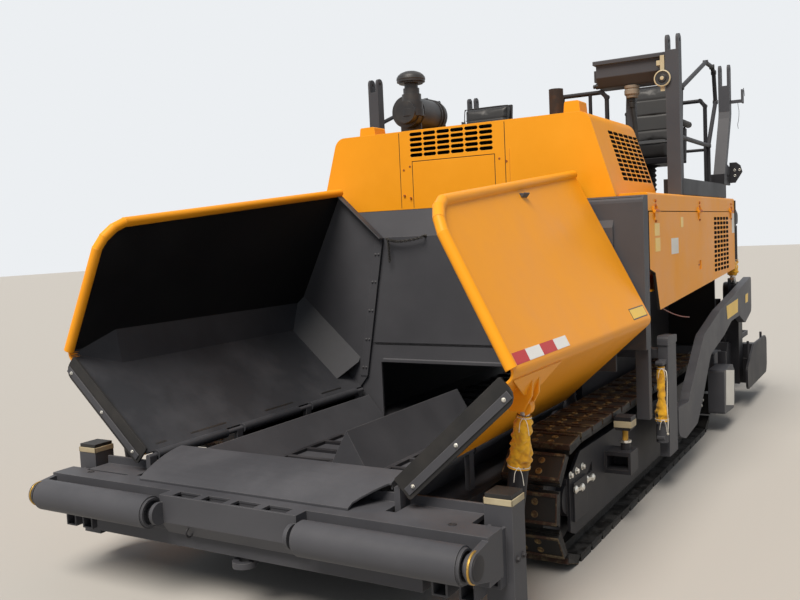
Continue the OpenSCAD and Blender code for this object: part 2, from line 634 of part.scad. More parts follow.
// Place of a pin at length s round the track's loop, which runs at radius track_r
track_r = track_h / 2 - shoe_t - chain_t / 2;
track_run = track_back - track_front - track_h;
track_round = 2 * track_run + 2 * PI * track_r;
function loop_pin(s) =
    s < track_run ? [track_front + track_h / 2 + s, track_h / 2 - track_r] :
    s < track_run + PI * track_r ?
        let (a = (s - track_run) / track_r * 180 / PI)
        [track_back - track_h / 2 + track_r * sin(a), track_h / 2 - track_r * cos(a)] :
    s < 2 * track_run + PI * track_r ?
        [track_back - track_h / 2 - (s - track_run - PI * track_r), track_h / 2 + track_r] :
        let (a = (s - 2 * track_run - PI * track_r) / track_r * 180 / PI)
        [track_front + track_h / 2 - track_r * sin(a), track_h / 2 + track_r * cos(a)];

// Draw the children once for each shoe, at its front pin with X along the link
module each_shoe() for (i = [0 : shoe_count - 1]) {
    a = loop_pin(i * track_round / shoe_count);
    b = loop_pin((i + 1) % shoe_count * track_round / shoe_count);
    $link = norm(b - a);
    translate(a) rotate(atan2(b[1] - a[1], b[0] - a[0])) children();
}

module track(s) color(black) stations() side(s) {
    // Shoe plates with their bolted pads
    translate([track_in, 0, 0]) rotate([90, 0, 90]) linear_extrude(shoe_w) each_shoe() {
        translate([3, -chain_t / 2 - 18]) square([$link - 6, 20]);
        translate([14, -chain_t / 2 - shoe_t]) square([$link - 28, shoe_t - 10]);
    }
    // Link chain
    translate([track_in + 90, 0, 0]) rotate([90, 0, 90]) linear_extrude(shoe_w - 180) each_shoe() {
        translate([0, -chain_t / 2]) square([$link, chain_t]);
        circle(r = link_eye_r, $fn = 24);
    }
}

module track_frame(s) color(dark) stations() side(s) {
    half_link = track_round / shoe_count / 2 / track_r * 180 / PI;
    wheel_r = track_r * cos(half_link) - chain_t / 2 - seat_gap;
    rail_z = track_h / 2 - track_r + link_eye_r + seat_gap;
    mid_z = track_h / 2;
    y1 = track_front + track_h / 2;
    y2 = track_back - track_h / 2;
    side_x = track_in + shoe_w - 64;
    // Box beam between the wheels
    block([track_in + 60, y1 - 20, mid_z - 90], [track_in + shoe_w - 60, y2 + 20, mid_z + 110]);
    // Outer side plate with its folded top edge and bolting pad
    difference() {
        yz_plate(rounded([[y1 - 10, mid_z - 180], [y1 + 60, mid_z - 210], [y2 - 130, mid_z - 210],
            [y2 - 130, mid_z + 190],
            [y1 + 170, mid_z + 220], [y1 - 10, mid_z + 110]], [10, 10, 30, 30, 20, 20]), side_x, 18);
        yz_plate([[y1 + 250, mid_z + 60], [y1 + 370, mid_z + 120], [y1 + 370, mid_z + 60]], side_x + 4, 20);
    }
    block([side_x + 18, y1 + 20, mid_z - 130], [side_x + 34, y1 + 230, mid_z + 80]);
    // Idler and sprocket with their hubs
    for (y = [y1, y2]) bar_x(track_in + 110, track_in + shoe_w - 110, y, mid_z, wheel_r);
    for (y = [y1, y2]) bar_x(track_in + 50, track_in + shoe_w - 64, y, mid_z, 80);
    bar_x(track_in + 110, track_in + shoe_w - 30, y2, mid_z, 130);
    // Lower rollers on their axles between two cheek plates
    for (i = [0 : 7]) {
        y = y1 + 330 + i * (y2 - y1 - 660) / 7;
        bar_x(track_in + 110, track_in + shoe_w - 110, y, rail_z + 75, 75);
        bar_x(track_in + 65, track_in + shoe_w - 65, y, rail_z + 75, 22);
    }
    for (x = [track_in + 60, track_in + shoe_w - 76])
        block([x, y1 + 240, rail_z + 40], [x + 16, y2 - 240, mid_z - 80]);
    // Side prop: box bracket, collar, rod and rubber-faced pad
    jack_x = track_in + shoe_w + 60;
    jack_y = y1 + 670;
    difference() {
        block([side_x + 17, jack_y - 75, mid_z - 10], [jack_x + 50, jack_y + 75, mid_z + 120]);
        block([side_x + 30, jack_y - 76, mid_z + 14], [jack_x + 34, jack_y + 60, mid_z + 96]);
    }
    for (c = [[110, 165, 28], [160, 250, 14]]) translate([jack_x, jack_y, mid_z + c[0]])
        cylinder(h = c[1] - c[0], r = c[2]);
    xz_plate(rounded([[jack_x - 42, mid_z + 245], [jack_x + 42, mid_z + 245], [jack_x + 50, mid_z + 262],
        [jack_x + 50, mid_z + 325], [jack_x - 50, mid_z + 325], [jack_x - 50, mid_z + 262]],
        [4]), jack_y - 50, 100);
}

module tow_guide(s) color(grey) stations() side(s) {
    in_x = arm_x - arm_t;
    difference() {
        block([in_x, tow_y - 140, tow_z - 170], [arm_x, tow_y + 80, tow_z + 600]);
        block([in_x + 12, tow_y - 120, tow_z - 171], [arm_x - 12, tow_y + 81, tow_z + 601]);
    }
    // Folded-over top
    yz_plate(rounded([[tow_y - 150, tow_z + 570], [tow_y + 92, tow_z + 570], [tow_y + 92, tow_z + 618],
        [tow_y - 150, tow_z + 634]], [0, 0, 12, 30]), in_x - 4, arm_t + 8);
    bar_x(in_x + 6, arm_x - 6, tow_y, tow_z, 25);
    block([frame_half, tow_y - 120, 900], [in_x, tow_y - 20, 960]);
    // Levelling cylinder in front of the guide, between two clamp plates
    translate([in_x + 30, tow_y - 195, tow_z - 60]) cylinder(h = 190, r = 38);
    translate([in_x + 30, tow_y - 195, tow_z + 120]) cylinder(h = 360, r = 18);
    for (z = [tow_z - 40, tow_z + 60, tow_z + 450])
        yz_plate(rounded([[tow_y - 240, z], [tow_y - 138, z], [tow_y - 138, z + 26],
            [tow_y - 240, z + 26]], [10, 0, 0, 10]),
            in_x + 6, 48);
}

module auger_drive() color(grey) stations() {
    // Middle gear case hung from the cross box
    difference() {
        block([-60, auger_y - 90, auger_z - 90], [60, auger_y + 60, 870]);
        for (x = [-61, 48]) block([x, auger_y - 60, auger_z + 130], [x + 13, auger_y + 30, 800]);
    }
    bar_x(-64, 64, auger_y, auger_z, 80);
    block([-frame_half, frame_rear, 850], [frame_half, auger_y, 980]);
    for (s = [-1, 1]) side(s) {
        bar_x(60, side_box_x - 20, auger_y, auger_z, 28);
        // Bearing hanger
        block([side_box_x - 82, auger_y - 60, auger_z - 60], [side_box_x - 22, auger_y + 60, auger_z + 60]);
        block([side_box_x - 82, auger_y - 240, auger_z + 60],
            [side_box_x - 22, auger_y + 60, auger_z + 200]);
        block([side_box_x - 162, auger_y - 120, auger_z + 200], [side_box_x - 62, auger_y - 60, 870]);
        // Folded side box with its upright flange
        difference() {
            yz_plate(rounded([[box_front, 170], [box_rear - 60, 150], [box_rear, 230], [box_rear, 470],
                [box_rear - 90, 540],
                [box_front, 540]], [20, 12, 20, 20, 14, 20]), side_box_x, arm_x + 12 - side_box_x);
            yz_plate([[box_front + 12, 182], [box_rear - 66, 162], [box_rear - 12, 236],
                [box_rear - 12, 464],
                [box_rear - 96, 528], [box_front + 12, 528]], side_box_x - 1, arm_x - side_box_x);
        }
        block([side_box_x, box_rear - 40, 520], [side_box_x + 70, box_rear - 26, 640]);
        block([side_box_x - 23, box_rear - 80, auger_z + 70],
            [side_box_x + 1, box_rear - 13, auger_z + 110]);
    }
}

// Crossing of two lines, each given by a point and a direction
function meet(p, d, q, e) = p + d * cross(q - p, e) / cross(d, e);

floor_way = [cos(floor_slope), sin(floor_slope)];
wall_way = [-sin(wall_lean), cos(wall_lean)];
fold = [hinge_x, hinge_z] + floor_len * floor_way;
// Bend between floor and wall, and the rim's line in the wall's own plane
fold_c = fold - fold_r * tan((90 + wall_lean - floor_slope) / 2) * floor_way +
    fold_r * [-sin(floor_slope), cos(floor_slope)];
fold_turn = (wall_lean + floor_slope - 90) / 2;
fold_depth = wing_chamfer * cos((90 - wall_lean + floor_slope) / 2);
rim_rise = atan((wall_rear - wall_front) / (wing_rear_y - hinge_front));
rim_mid = wall_front - rim_bend * (1 / cos(rim_rise) - tan(rim_rise));
function bend(off, back = false) = [for (i = [0 : 6]) let (k = back ? 6 - i : i,
    a = floor_slope - 90 + k * (90 + wall_lean - floor_slope) / 6) fold_c + (fold_r + off) * [cos(a),
    sin(a)]];
// Draw in the wall's own frame, with Z up the wall from the fold
module in_wall() translate([fold[0], 0, fold[1]]) rotate([0, -wall_lean, 0]) children();

wing_cyl_tilt = atan2(wing_eye[0] - wing_foot[0], wing_eye[2] - wing_foot[2]);
wing_cyl_len = norm(wing_eye - wing_foot);

module wing(s) color(yellow) stations() side(s) {
    floor_in = [-sin(floor_slope), cos(floor_slope)] * wing_t / 2;
    wall_in = [-cos(wall_lean), -sin(wall_lean)] * wing_t / 2;
    start = [hinge_x, hinge_z] + (knuckle_r - 3) * floor_way;
    top = fold + (wall_rear + 1) * wall_way;
    inner = [[hinge_x - 52, hinge_z + 107], [hinge_x - 238, hinge_z + 1122]];
    outer = fold + (wall_rear - 12) * wall_way;
    depth = wing_rear_y - hinge_front;
    // Hinge knuckles
    difference() {
        for (y = [hinge_front + 60, 960, 1660]) bar_y(y, y + 560, hinge_x, hinge_z, knuckle_r);
        bar_y(hinge_front, hopper_rear, hinge_x, hinge_z, hinge_rod_r + pin_gap);
    }
    // Floor and side wall, bent from one plate, cut to the rim's line
    difference() {
        xz_plate(concat([start - floor_in], bend(wing_t / 2), [top - wall_in, top + wall_in],
            bend(-wing_t / 2, true),
            [start + floor_in]), hinge_front, depth - 6);
        in_wall() yz_plate(concat([[hinge_front - 40, rim_mid], [hinge_front, rim_mid]],
            [for (i = [0 : 8]) let (a = 180 - i * (90 - rim_rise) / 8)
                [hinge_front + rim_bend, rim_mid] + rim_bend * [cos(a), sin(a)]],
            [[wing_rear_y, wall_rear], [wing_rear_y, wall_rear + 300],
            [hinge_front - 40, wall_rear + 300]]), -50, 100);
    }
    // Rim tube up the front edge, round the corner in short lengths and along the top
    in_wall() {
        turn = (90 - rim_rise) / 4;
        step = rim_bend * tan(turn / 2);
        translate([0, hinge_front, 30]) cylinder(h = rim_mid + step - 24, r = rim_r);
        for (i = [1 : 3])
            translate([0, hinge_front + rim_bend * (1 - cos(i * turn)),
                rim_mid + rim_bend * sin(i * turn)])
                rotate([-i * turn, 0, 0])
                    cylinder(h = 2 * step + (i == 2 ? 12 : 14), r = rim_r - i % 2, center = true);
        translate([0, hinge_front + rim_bend * (1 - sin(rim_rise)),
            rim_mid + rim_bend * cos(rim_rise)])
            rotate([rim_rise - 90, 0, 0]) translate([0, 0, -step - 6])
                cylinder(h = (depth - 10 - rim_bend * (1 - sin(rim_rise))) / cos(rim_rise) + step + 6,
                    r = rim_r);
    }
    // Chamfer box between floor and wall, running to a point at its front end
    intersection() {
        xz_plate(concat([fold - wing_chamfer * floor_way], bend(0), [fold + wing_chamfer * wall_way]),
            hinge_front, depth - 6);
        translate([fold[0], 0, fold[1]] - fold_depth * [cos(fold_turn), 0, sin(fold_turn)])
            rotate([0, -fold_turn, 0]) linear_extrude(2 * wing_chamfer, center = true)
                polygon([[-1, hinge_front + 300], [0, hinge_front + 300], [fold_depth, hinge_front],
                    [fold_depth + 60, hinge_front],
                    [fold_depth + 60, wing_rear_y - 8], [-1, wing_rear_y - 8]]);
    }
    // Gusset plate between floor and rear plate
    intersection() {
        translate([hinge_x, 0, hinge_z]) rotate([0, -floor_slope, 0])
            yz_plate([[wing_rear_y - 190, 0], [wing_rear_y - 170, 0], [wing_rear_y - 10, 158],
                [wing_rear_y - 10, 178]],
                150, floor_len);
        xz_plate(concat([start], bend(0), [fold + 300 * wall_way, [hinge_x, hinge_z + 400]]),
            hinge_front, depth - 6);
    }
    // Rear plate with its light top flange and inner strip
    xz_plate(concat([start + 5 * floor_way, inner[0], inner[1], outer], bend(0, true)),
        wing_rear_y - 12, 12);
    xz_plate([inner[1], outer, outer - 9 * wall_way, inner[1] - [0, 9]], wing_rear_y - 62, 52);
    xz_plate([inner[0], inner[1], inner[1] + [62, 0], inner[0] + [62, 0]], wing_rear_y - 18, 8);
    // Cylinder bracket: two cheeks and the folded plate between fold and eye
    for (y = [wing_eye[1] - 48, wing_eye[1] + 32]) xz_plate([fold - 235 * floor_way, fold - 30 * floor_way,
        [wing_eye[0] + 54, wing_eye[2] + 60], [wing_eye[0] + 10, wing_eye[2] - 15],
        [wing_eye[0] - 50, wing_eye[2] - 15]],
        y, 16);
    translate([fold[0] - 14, 0, fold[1] - 20]) rotate([0, 24, 0])
        yz_plate([[hinge_front + 10, -2], [770, -2], [560, -112], [416, -112]], -5, 10);
}

module wing_flap(s) color(black) stations() side(s)
    translate([hinge_x, hinge_front - 14, hinge_z]) rotate([0, -floor_slope, 0])
        xz_plate(rounded([[knuckle_r, -80], [floor_len - 50, -80], [floor_len - 50, 40],
            [knuckle_r, 40]], [14, 60, 10, 10]),
            0, 14 - seat_gap);
module wing_barrel(s) color(black) stations() side(s)
    translate(wing_foot) rotate([0, wing_cyl_tilt, 0]) {
        difference() {
            union() {
                translate([0, 0, 90]) cylinder(h = 450, r = 45);
                bar_y(-22, 22, 0, 0, 40);
                translate([-30, -22, 0]) cube([60, 44, 95]);
            }
            bar_y(-23, 23, 0, 0, 20 + pin_gap);
            translate([0, 0, 100]) cylinder(h = 500, r = 25.5);
        }
    }

module wing_rod(s) color(steel) stations() side(s)
    translate(wing_foot) rotate([0, wing_cyl_tilt, 0]) {
        translate([0, 0, 340]) cylinder(h = wing_cyl_len - 340 - 20, r = 25);
        bar_y(-22, 22, 0, wing_cyl_len, 38);
    }

module wing_boot(s) color(boot_yellow) stations() side(s)
    translate(wing_foot) rotate([0, wing_cyl_tilt, 0]) translate([0, 0, 541]) difference() {
        cylinder(h = wing_cyl_len - 541 - 45, r = 60);
        translate([0, 0, -1]) cylinder(h = 500, r = 27);
    }

module apron() color(grey) stations() {
    // Arched plate, its left front corner cut off
    foot = [70, beam_top + seat_gap];
    back = [apron_hinge_y, apron_z + 14];
    difference() {
        yz_plate(concat(arch(foot, back, 700), arch(back + [0, 11], foot + [0, 11], -711)),
            -apron_half, 2 * apron_half);
        translate([0, 0, 500]) linear_extrude(200) polygon([[apron_half - 124, 60], [apron_half - 118, 106],
            [apron_half - 13, 250], [apron_half + 1, 252], [apron_half + 1, 60]]);
    }
    // Folded lips down its two sides
    for (x = [[apron_half - 8, 262], [-apron_half, 190]]) {
        z = apron_z - 4 - (262 - x[1]) * 0.3;
        yz_plate([[x[1], z - 28], [apron_hinge_y - 4, apron_z - 4], [apron_hinge_y - 4, apron_z + 20],
            [x[1], z]], x[0], 8);
    }
    difference() {
        for (x = [[-650, -250], [-200, 200], [250, 650]]) bar_x(x[0], x[1], apron_hinge_y, apron_z, 15);
        bar_x(-700, 700, apron_hinge_y, apron_z, 7 + pin_gap);
    }
}

module push_roller(s) color(steel) stations() side(s) difference() {
    union() {
        bar_x(roller_in + 14, roller_out - 14, -roller_ahead, roller_z, roller_r);
        bar_x(roller_in, roller_out, -roller_ahead, roller_z, roller_r - 8);
    }
    for (x = [roller_in - 1, roller_out - 24]) bar_x(x, x + 25, -roller_ahead, roller_z, roller_r - 20);
    bar_x(roller_in - 1, roller_out + 1, -roller_ahead, roller_z, roller_axle_r + pin_gap);
}

module auger(s) color(steel) stations() side(s) {
    reach = side_box_x - 87;
    difference() {
        bar_x(70, reach, auger_y, auger_z, 45);
        bar_x(60, reach + 5, auger_y, auger_z, 28 + pin_gap);
    }
    // Flight, as half turns of plate set at alternate slants
    pitch = (reach - 170) / 8;
    for (i = [0 : 7]) difference() {
        intersection() {
            bar_x(90, reach - 10, auger_y, auger_z, auger_r);
            translate([110 + (i + 0.5) * pitch, auger_y, auger_z]) rotate([0,
                (i % 2 == 0 ? 1 : -1) * 19, 0])
                translate([-7, -auger_r, -auger_r - 30]) cube([14, 2 * auger_r, 2 * auger_r + 60]);
            translate([0, i % 2 == 0 ? auger_y - auger_r - 1 : auger_y - 1, 0])
                cube([reach + 100, auger_r + 2, auger_z + auger_r + 10]);
        }
        bar_x(80, reach, auger_y, auger_z, 40);
    }
}

module tow_arms() color(grey) stations() for (s = [-1, 1]) side(s) difference() {
    union() {
        yz_plate(rounded([[tow_y + 125, 530], [3250, 510], [3300, 570], [3800, 920], [4440, 1050],
            [5130, 1130],
            [arm_rear, 1240], [arm_rear, 900], [5640, 820], [5340, 920], [4940, 910], [4620, 830],
            [4040, 740], [3650, 390],
            [3520, 300], [3140, 270], [tow_y + 125, 330]],
            [30, 60, 60, 160, 200, 200, 40, 60, 90, 90, 120, 120, 160, 90, 60, 120, 60]), arm_x - arm_t,
            arm_t);
        bar_x(arm_x - arm_t + 18, arm_x - 18, tow_y, tow_z, 55);
        block([arm_x - arm_t + 18, tow_y, tow_z - 50], [arm_x - 18, tow_y + 140, tow_z + 50]);
    }
    bar_x(arm_x - arm_t, arm_x, tow_y, tow_z, 25 + pin_gap);
}

module screed() color(dark) stations() {
    // Sole plate, tamper bar and the box above them
    block([-screed_half, screed_front, screed_low], [screed_half, screed_rear, screed_low + 30]);
    block([-screed_half, screed_front - 34, screed_low], [screed_half, screed_front, screed_low + 110]);
    yz_plate([[screed_front, screed_low + 30], [screed_front + 200, screed_low + 30],
        [screed_front + 200, 640],
        [screed_front + 120, 640], [screed_front, 520]], -screed_half, 2 * screed_half);
    // Heater boxes on top
    for (x = [-900, 260]) block([x, screed_front + 130, 640], [x + 640, screed_front + 196, 730]);
    for (s = [-1, 1]) side(s) {
        // Cheek that carries the tow arm, with its ribs
        yz_plate(rounded([[screed_rear - 200, screed_low + 30], [screed_rear, screed_low + 30],
            [screed_rear, 1200],
            [screed_rear - 200, 1200], [screed_rear - 200, 900]],
            [0, 0, 60, 60, 0]), screed_half - 60, arm_x - arm_t - screed_half + 60);
        block([screed_half - 60, screed_rear - 260, screed_low + 30],
            [screed_half, screed_rear - 200, 620]);
        block([screed_half + 14, screed_front + 100, 1120], [screed_half + 20, screed_front + 270, 1250]);
        // Spindle that sets the angle, beside the cheek
        translate([screed_half - 120, screed_rear - 130, 620]) cylinder(h = 420, r = 26);
        block([screed_half - 160, screed_rear - 170, 470], [screed_half - 60, screed_rear - 90, 660]);
    }
    // Guide tubes of the extensions
    for (z = guide_z) difference() {
        union() {
            bar_x(-screed_half + 40, screed_half - 40, guide_y, z, guide_tube_r);
            for (x = [-screed_half + 40, -20, screed_half - 80]) block([x, screed_rear, z - 50],
                [x + 40, guide_y, z + 50]);
        }
        bar_x(-screed_half + 39, screed_half - 39, guide_y, z, guide_bar_r + pin_gap);
    }
    for (x = [-screed_half + 40, -20, screed_half - 80]) block([x, screed_front + 199, 470],
        [x + 40, screed_rear + 1, 700]);
}

module screed_walkway() color(grey) stations() {
    // Tread with raised edges, toe board and step ribs
    y = rear_end - 400;
    difference() {
        block([-screed_half + 30, y, 560], [screed_half - 30, rear_end, 610]);
        block([-screed_half + 42, y + 12, 572], [screed_half - 42, rear_end - 12, 611]);
    }
    for (i = [0 : 8]) block([-screed_half + 41, y + 32 + i * 40, 571],
        [screed_half - 41, y + 44 + i * 40, 590]);
    for (s = [-1, 1]) side(s) {
        xz = screed_half - 90;
        block([xz, screed_rear, 720], [xz + 60, y, 760]);
        block([xz, y - 20, 560], [xz + 60, y, 720]);
        // Control box on a post
        block([900, y - 60, 600], [940, y - 20, 1250]);
        yz_plate(rounded([[y - 120, 1250], [y + 40, 1250], [y + 40, 1330], [y - 120, 1400]],
            [10]), 820, 200);
        block([900, y - 22, 570], [940, y + 1, 612]);
    }
}

module extension(s) color(dark) stations() side(s) {
    z = guide_z[s > 0 ? 0 : 1];
    front = screed_rear + 40;
    gate = arm_x + 8;
    // Sliding sole with its box and slanted cover
    yz_plate([[front, screed_low], [front + 450, screed_low], [front + 450, screed_low + 200],
        [front + 380, screed_low + 240],
        [front, screed_low + 240]], 30, gate - 30);
    // End gate with its ski and two handles
    yz_plate(rounded([[front - 330, screed_low - 10], [front + 800, screed_low - 10],
        [front + 850, 270], [front + 850, 540],
        [front + 760, 580], [front + 60, 580], [front - 330, 400]],
        [60, 60, 20, 60, 40, 60, 60]), gate, 20);
    for (y = [front - 140, front + 640]) {
        translate([gate - 8, y, 300]) cylinder(h = 330, r = 12);
        block([gate - 30, y - 20, 320], [gate, y + 20, 360]);
    }
    // Guide bar with the bracket that hangs the extension from it
    bar_x(-screed_half + 90, gate - 90, guide_y, z, guide_bar_r);
    block([gate - 100, guide_y - 60, screed_low + 239], [gate, guide_y + 60, z + 60]);
}

module lift_barrel(s) color(black) stations() side(s) translate(lift_top) difference() {
    union() {
        translate([0, 0, -400]) cylinder(h = 340, r = 45);
        bar_x(-22, 22, 0, 0, 40);
        translate([-22, -30, -60]) cube([44, 60, 60]);
    }
    bar_x(-23, 23, 0, 0, 20 + pin_gap);
    translate([0, 0, -401]) cylinder(h = 330, r = 25.5);
}

module lift_rod(s) color(steel) stations() side(s) translate(lift_eye) {
    translate([0, 0, 20]) cylinder(h = 370, r = 25);
    bar_x(-20, 20, 0, 0, 36);
}

main_frame();
front_beam();
bulkhead();
hopper_floor();
slat_conveyor();
hood();
cabinet(1);  // cabinet_left
cabinet(-1);  // cabinet_right
engine_block();
air_filter();
exhaust_pipe();
deck();
seat(1);  // seat_left
seat(-1);  // seat_right
console();
posts(1);  // posts_left
posts(-1);  // posts_right
hand_rails();
track(1);  // track_left
track(-1);  // track_right
track_frame(1);  // track_frame_left
track_frame(-1);  // track_frame_right
tow_guide(1);  // tow_guide_left
tow_guide(-1);  // tow_guide_right
auger_drive();
wing(1);  // wing_left
wing(-1);  // wing_right
wing_flap(1);  // wing_flap_left
wing_flap(-1);  // wing_flap_right
wing_barrel(1);  // wing_barrel_left
wing_barrel(-1);  // wing_barrel_right
wing_rod(1);  // wing_rod_left
wing_rod(-1);  // wing_rod_right
wing_boot(1);  // wing_boot_left
wing_boot(-1);  // wing_boot_right
apron();
push_roller(1);  // push_roller_left
push_roller(-1);  // push_roller_right
engine_door(1);  // engine_door_left
engine_door(-1);  // engine_door_right
auger(1);  // auger_left
auger(-1);  // auger_right
tow_arms();
screed();
screed_walkway();
extension(1);  // extension_left
extension(-1);  // extension_right
lift_barrel(1);  // lift_barrel_left
lift_barrel(-1);  // lift_barrel_right
lift_rod(1);  // lift_rod_left
lift_rod(-1);  // lift_rod_right
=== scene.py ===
import math

import bmesh
import bpy
from mathutils import Matrix, Vector, noise


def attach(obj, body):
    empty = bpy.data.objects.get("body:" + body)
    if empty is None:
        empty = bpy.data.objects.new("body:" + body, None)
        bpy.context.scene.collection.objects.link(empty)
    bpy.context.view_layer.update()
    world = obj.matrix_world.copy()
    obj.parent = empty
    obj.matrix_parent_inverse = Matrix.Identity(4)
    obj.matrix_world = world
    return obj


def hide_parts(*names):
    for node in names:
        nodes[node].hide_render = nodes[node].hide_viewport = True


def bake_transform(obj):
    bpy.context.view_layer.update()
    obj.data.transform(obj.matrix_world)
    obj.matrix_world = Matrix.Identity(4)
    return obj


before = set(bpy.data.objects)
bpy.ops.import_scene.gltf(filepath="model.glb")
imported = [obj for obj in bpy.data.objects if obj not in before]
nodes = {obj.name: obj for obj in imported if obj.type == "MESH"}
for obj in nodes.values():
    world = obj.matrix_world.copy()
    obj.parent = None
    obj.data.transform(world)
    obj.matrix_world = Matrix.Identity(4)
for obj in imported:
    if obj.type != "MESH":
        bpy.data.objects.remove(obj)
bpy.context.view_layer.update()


# Camera: it stands a step off the machine's left front corner, a little above eye height.
# Its place and turn were solved from the machine's own symmetric pairs.
lens = bpy.data.cameras.new("camera")
lens.sensor_width = 36.0
lens.lens = 39.33
lens.clip_start, lens.clip_end = 0.1, 200
camera = bpy.data.objects.new("camera", lens)
look_way = Vector((-0.5109, 0.8566, -0.0724))
right_way = Vector((0.8596, 0.5089, -0.04475))
down_way = Vector((-0.00147, -0.08512, -0.99629))
camera.rotation_mode = "QUATERNION"
camera.rotation_quaternion = Matrix((right_way, -down_way, -look_way)).transposed().to_quaternion()
camera.location = (2.797, -6.4095, 1.778)
bpy.context.scene.collection.objects.link(camera)
bpy.context.scene.camera = camera
bpy.context.scene.view_settings.view_transform = "Standard"


# Studio: a plain pale floor under soft light from an even white sky.
# One wide lamp high over the front leaves the sides in soft shade.
def linear(hexa):
    """An sRGB hex colour as linear red, green, blue and alpha."""
    parts = [int(hexa[i:i + 2], 16) / 255 for i in (1, 3, 5)]
    return tuple(((c + 0.055) / 1.055) ** 2.4 if c > 0.04045 else c / 12.92 for c in parts) + (1,)


def add(tree, kind, links=(), **settings):
    """Adds one node: settings are its properties or input values, links are (source socket, input)."""
    made = tree.nodes.new(kind)
    for key, value in settings.items():
        if key.startswith("in_"):
            name = key[3:]
            made.inputs[int(name) if name.isdigit() else name.replace("_", " ")].default_value = value
        else:
            setattr(made, key, value)
    for source, name in links:
        tree.links.new(source, made.inputs[name])
    return made


def fresh(name):
    """A new material with an empty node tree."""
    made = bpy.data.materials.new(name)
    made.use_nodes = True
    made.node_tree.nodes.clear()
    return made, made.node_tree


floor_finish, tree = fresh("floor_pale_concrete")
shade = add(tree, "ShaderNodeBsdfPrincipled", in_Base_Color=linear("#b9b7b3"), in_Roughness=0.9)
add(tree, "ShaderNodeOutputMaterial", [(shade.outputs[0], "Surface")])
ground = bpy.data.meshes.new("floor")
half_floor = 60
ground.from_pydata([(x * half_floor, y * half_floor, 0) for x, y in ((-1, -1), (1, -1), (1, 1), (-1, 1))], [],
                   [(0, 1, 2, 3)])
ground.materials.append(floor_finish)
floor = bpy.data.objects.new("floor", ground)
bpy.context.scene.collection.objects.link(floor)

# The sky is white to the eye and in reflections, and lights the machine far less
sky_seen, sky_light = 1.0, 0.27
sky = bpy.data.worlds.new("sky")
sky.use_nodes = True
tree = sky.node_tree
tree.nodes.clear()
ray = add(tree, "ShaderNodeLightPath")
seen = add(tree, "ShaderNodeMath", [(ray.outputs["Is Camera Ray"], 0), (ray.outputs["Is Glossy Ray"], 1)],
           operation="MAXIMUM")
seen = add(tree, "ShaderNodeMath", [(seen.outputs[0], 0), (ray.outputs["Is Transmission Ray"], 1)],
           operation="MAXIMUM")
white = add(tree, "ShaderNodeBackground", in_Color=linear("#eceff2"), in_Strength=sky_seen)
light = add(tree, "ShaderNodeBackground", in_Color=linear("#eef3fb"), in_Strength=sky_light)
mixed = add(tree, "ShaderNodeMixShader", [(seen.outputs[0], 0), (light.outputs[0], 1), (white.outputs[0], 2)])
add(tree, "ShaderNodeOutputWorld", [(mixed.outputs[0], "Surface")])
bpy.context.scene.world = sky

shining = Vector((-0.03, 0.56, -0.83))
lamp = bpy.data.lights.new("wide_lamp", "SUN")
lamp.energy = 3.9
lamp.angle = math.radians(34)
lamp.color = linear("#fff6ea")[:3]
wide_lamp = bpy.data.objects.new("wide_lamp", lamp)
wide_lamp.rotation_mode = "QUATERNION"
wide_lamp.rotation_quaternion = shining.to_track_quat("-Z", "Y")
bpy.context.scene.collection.objects.link(wide_lamp)


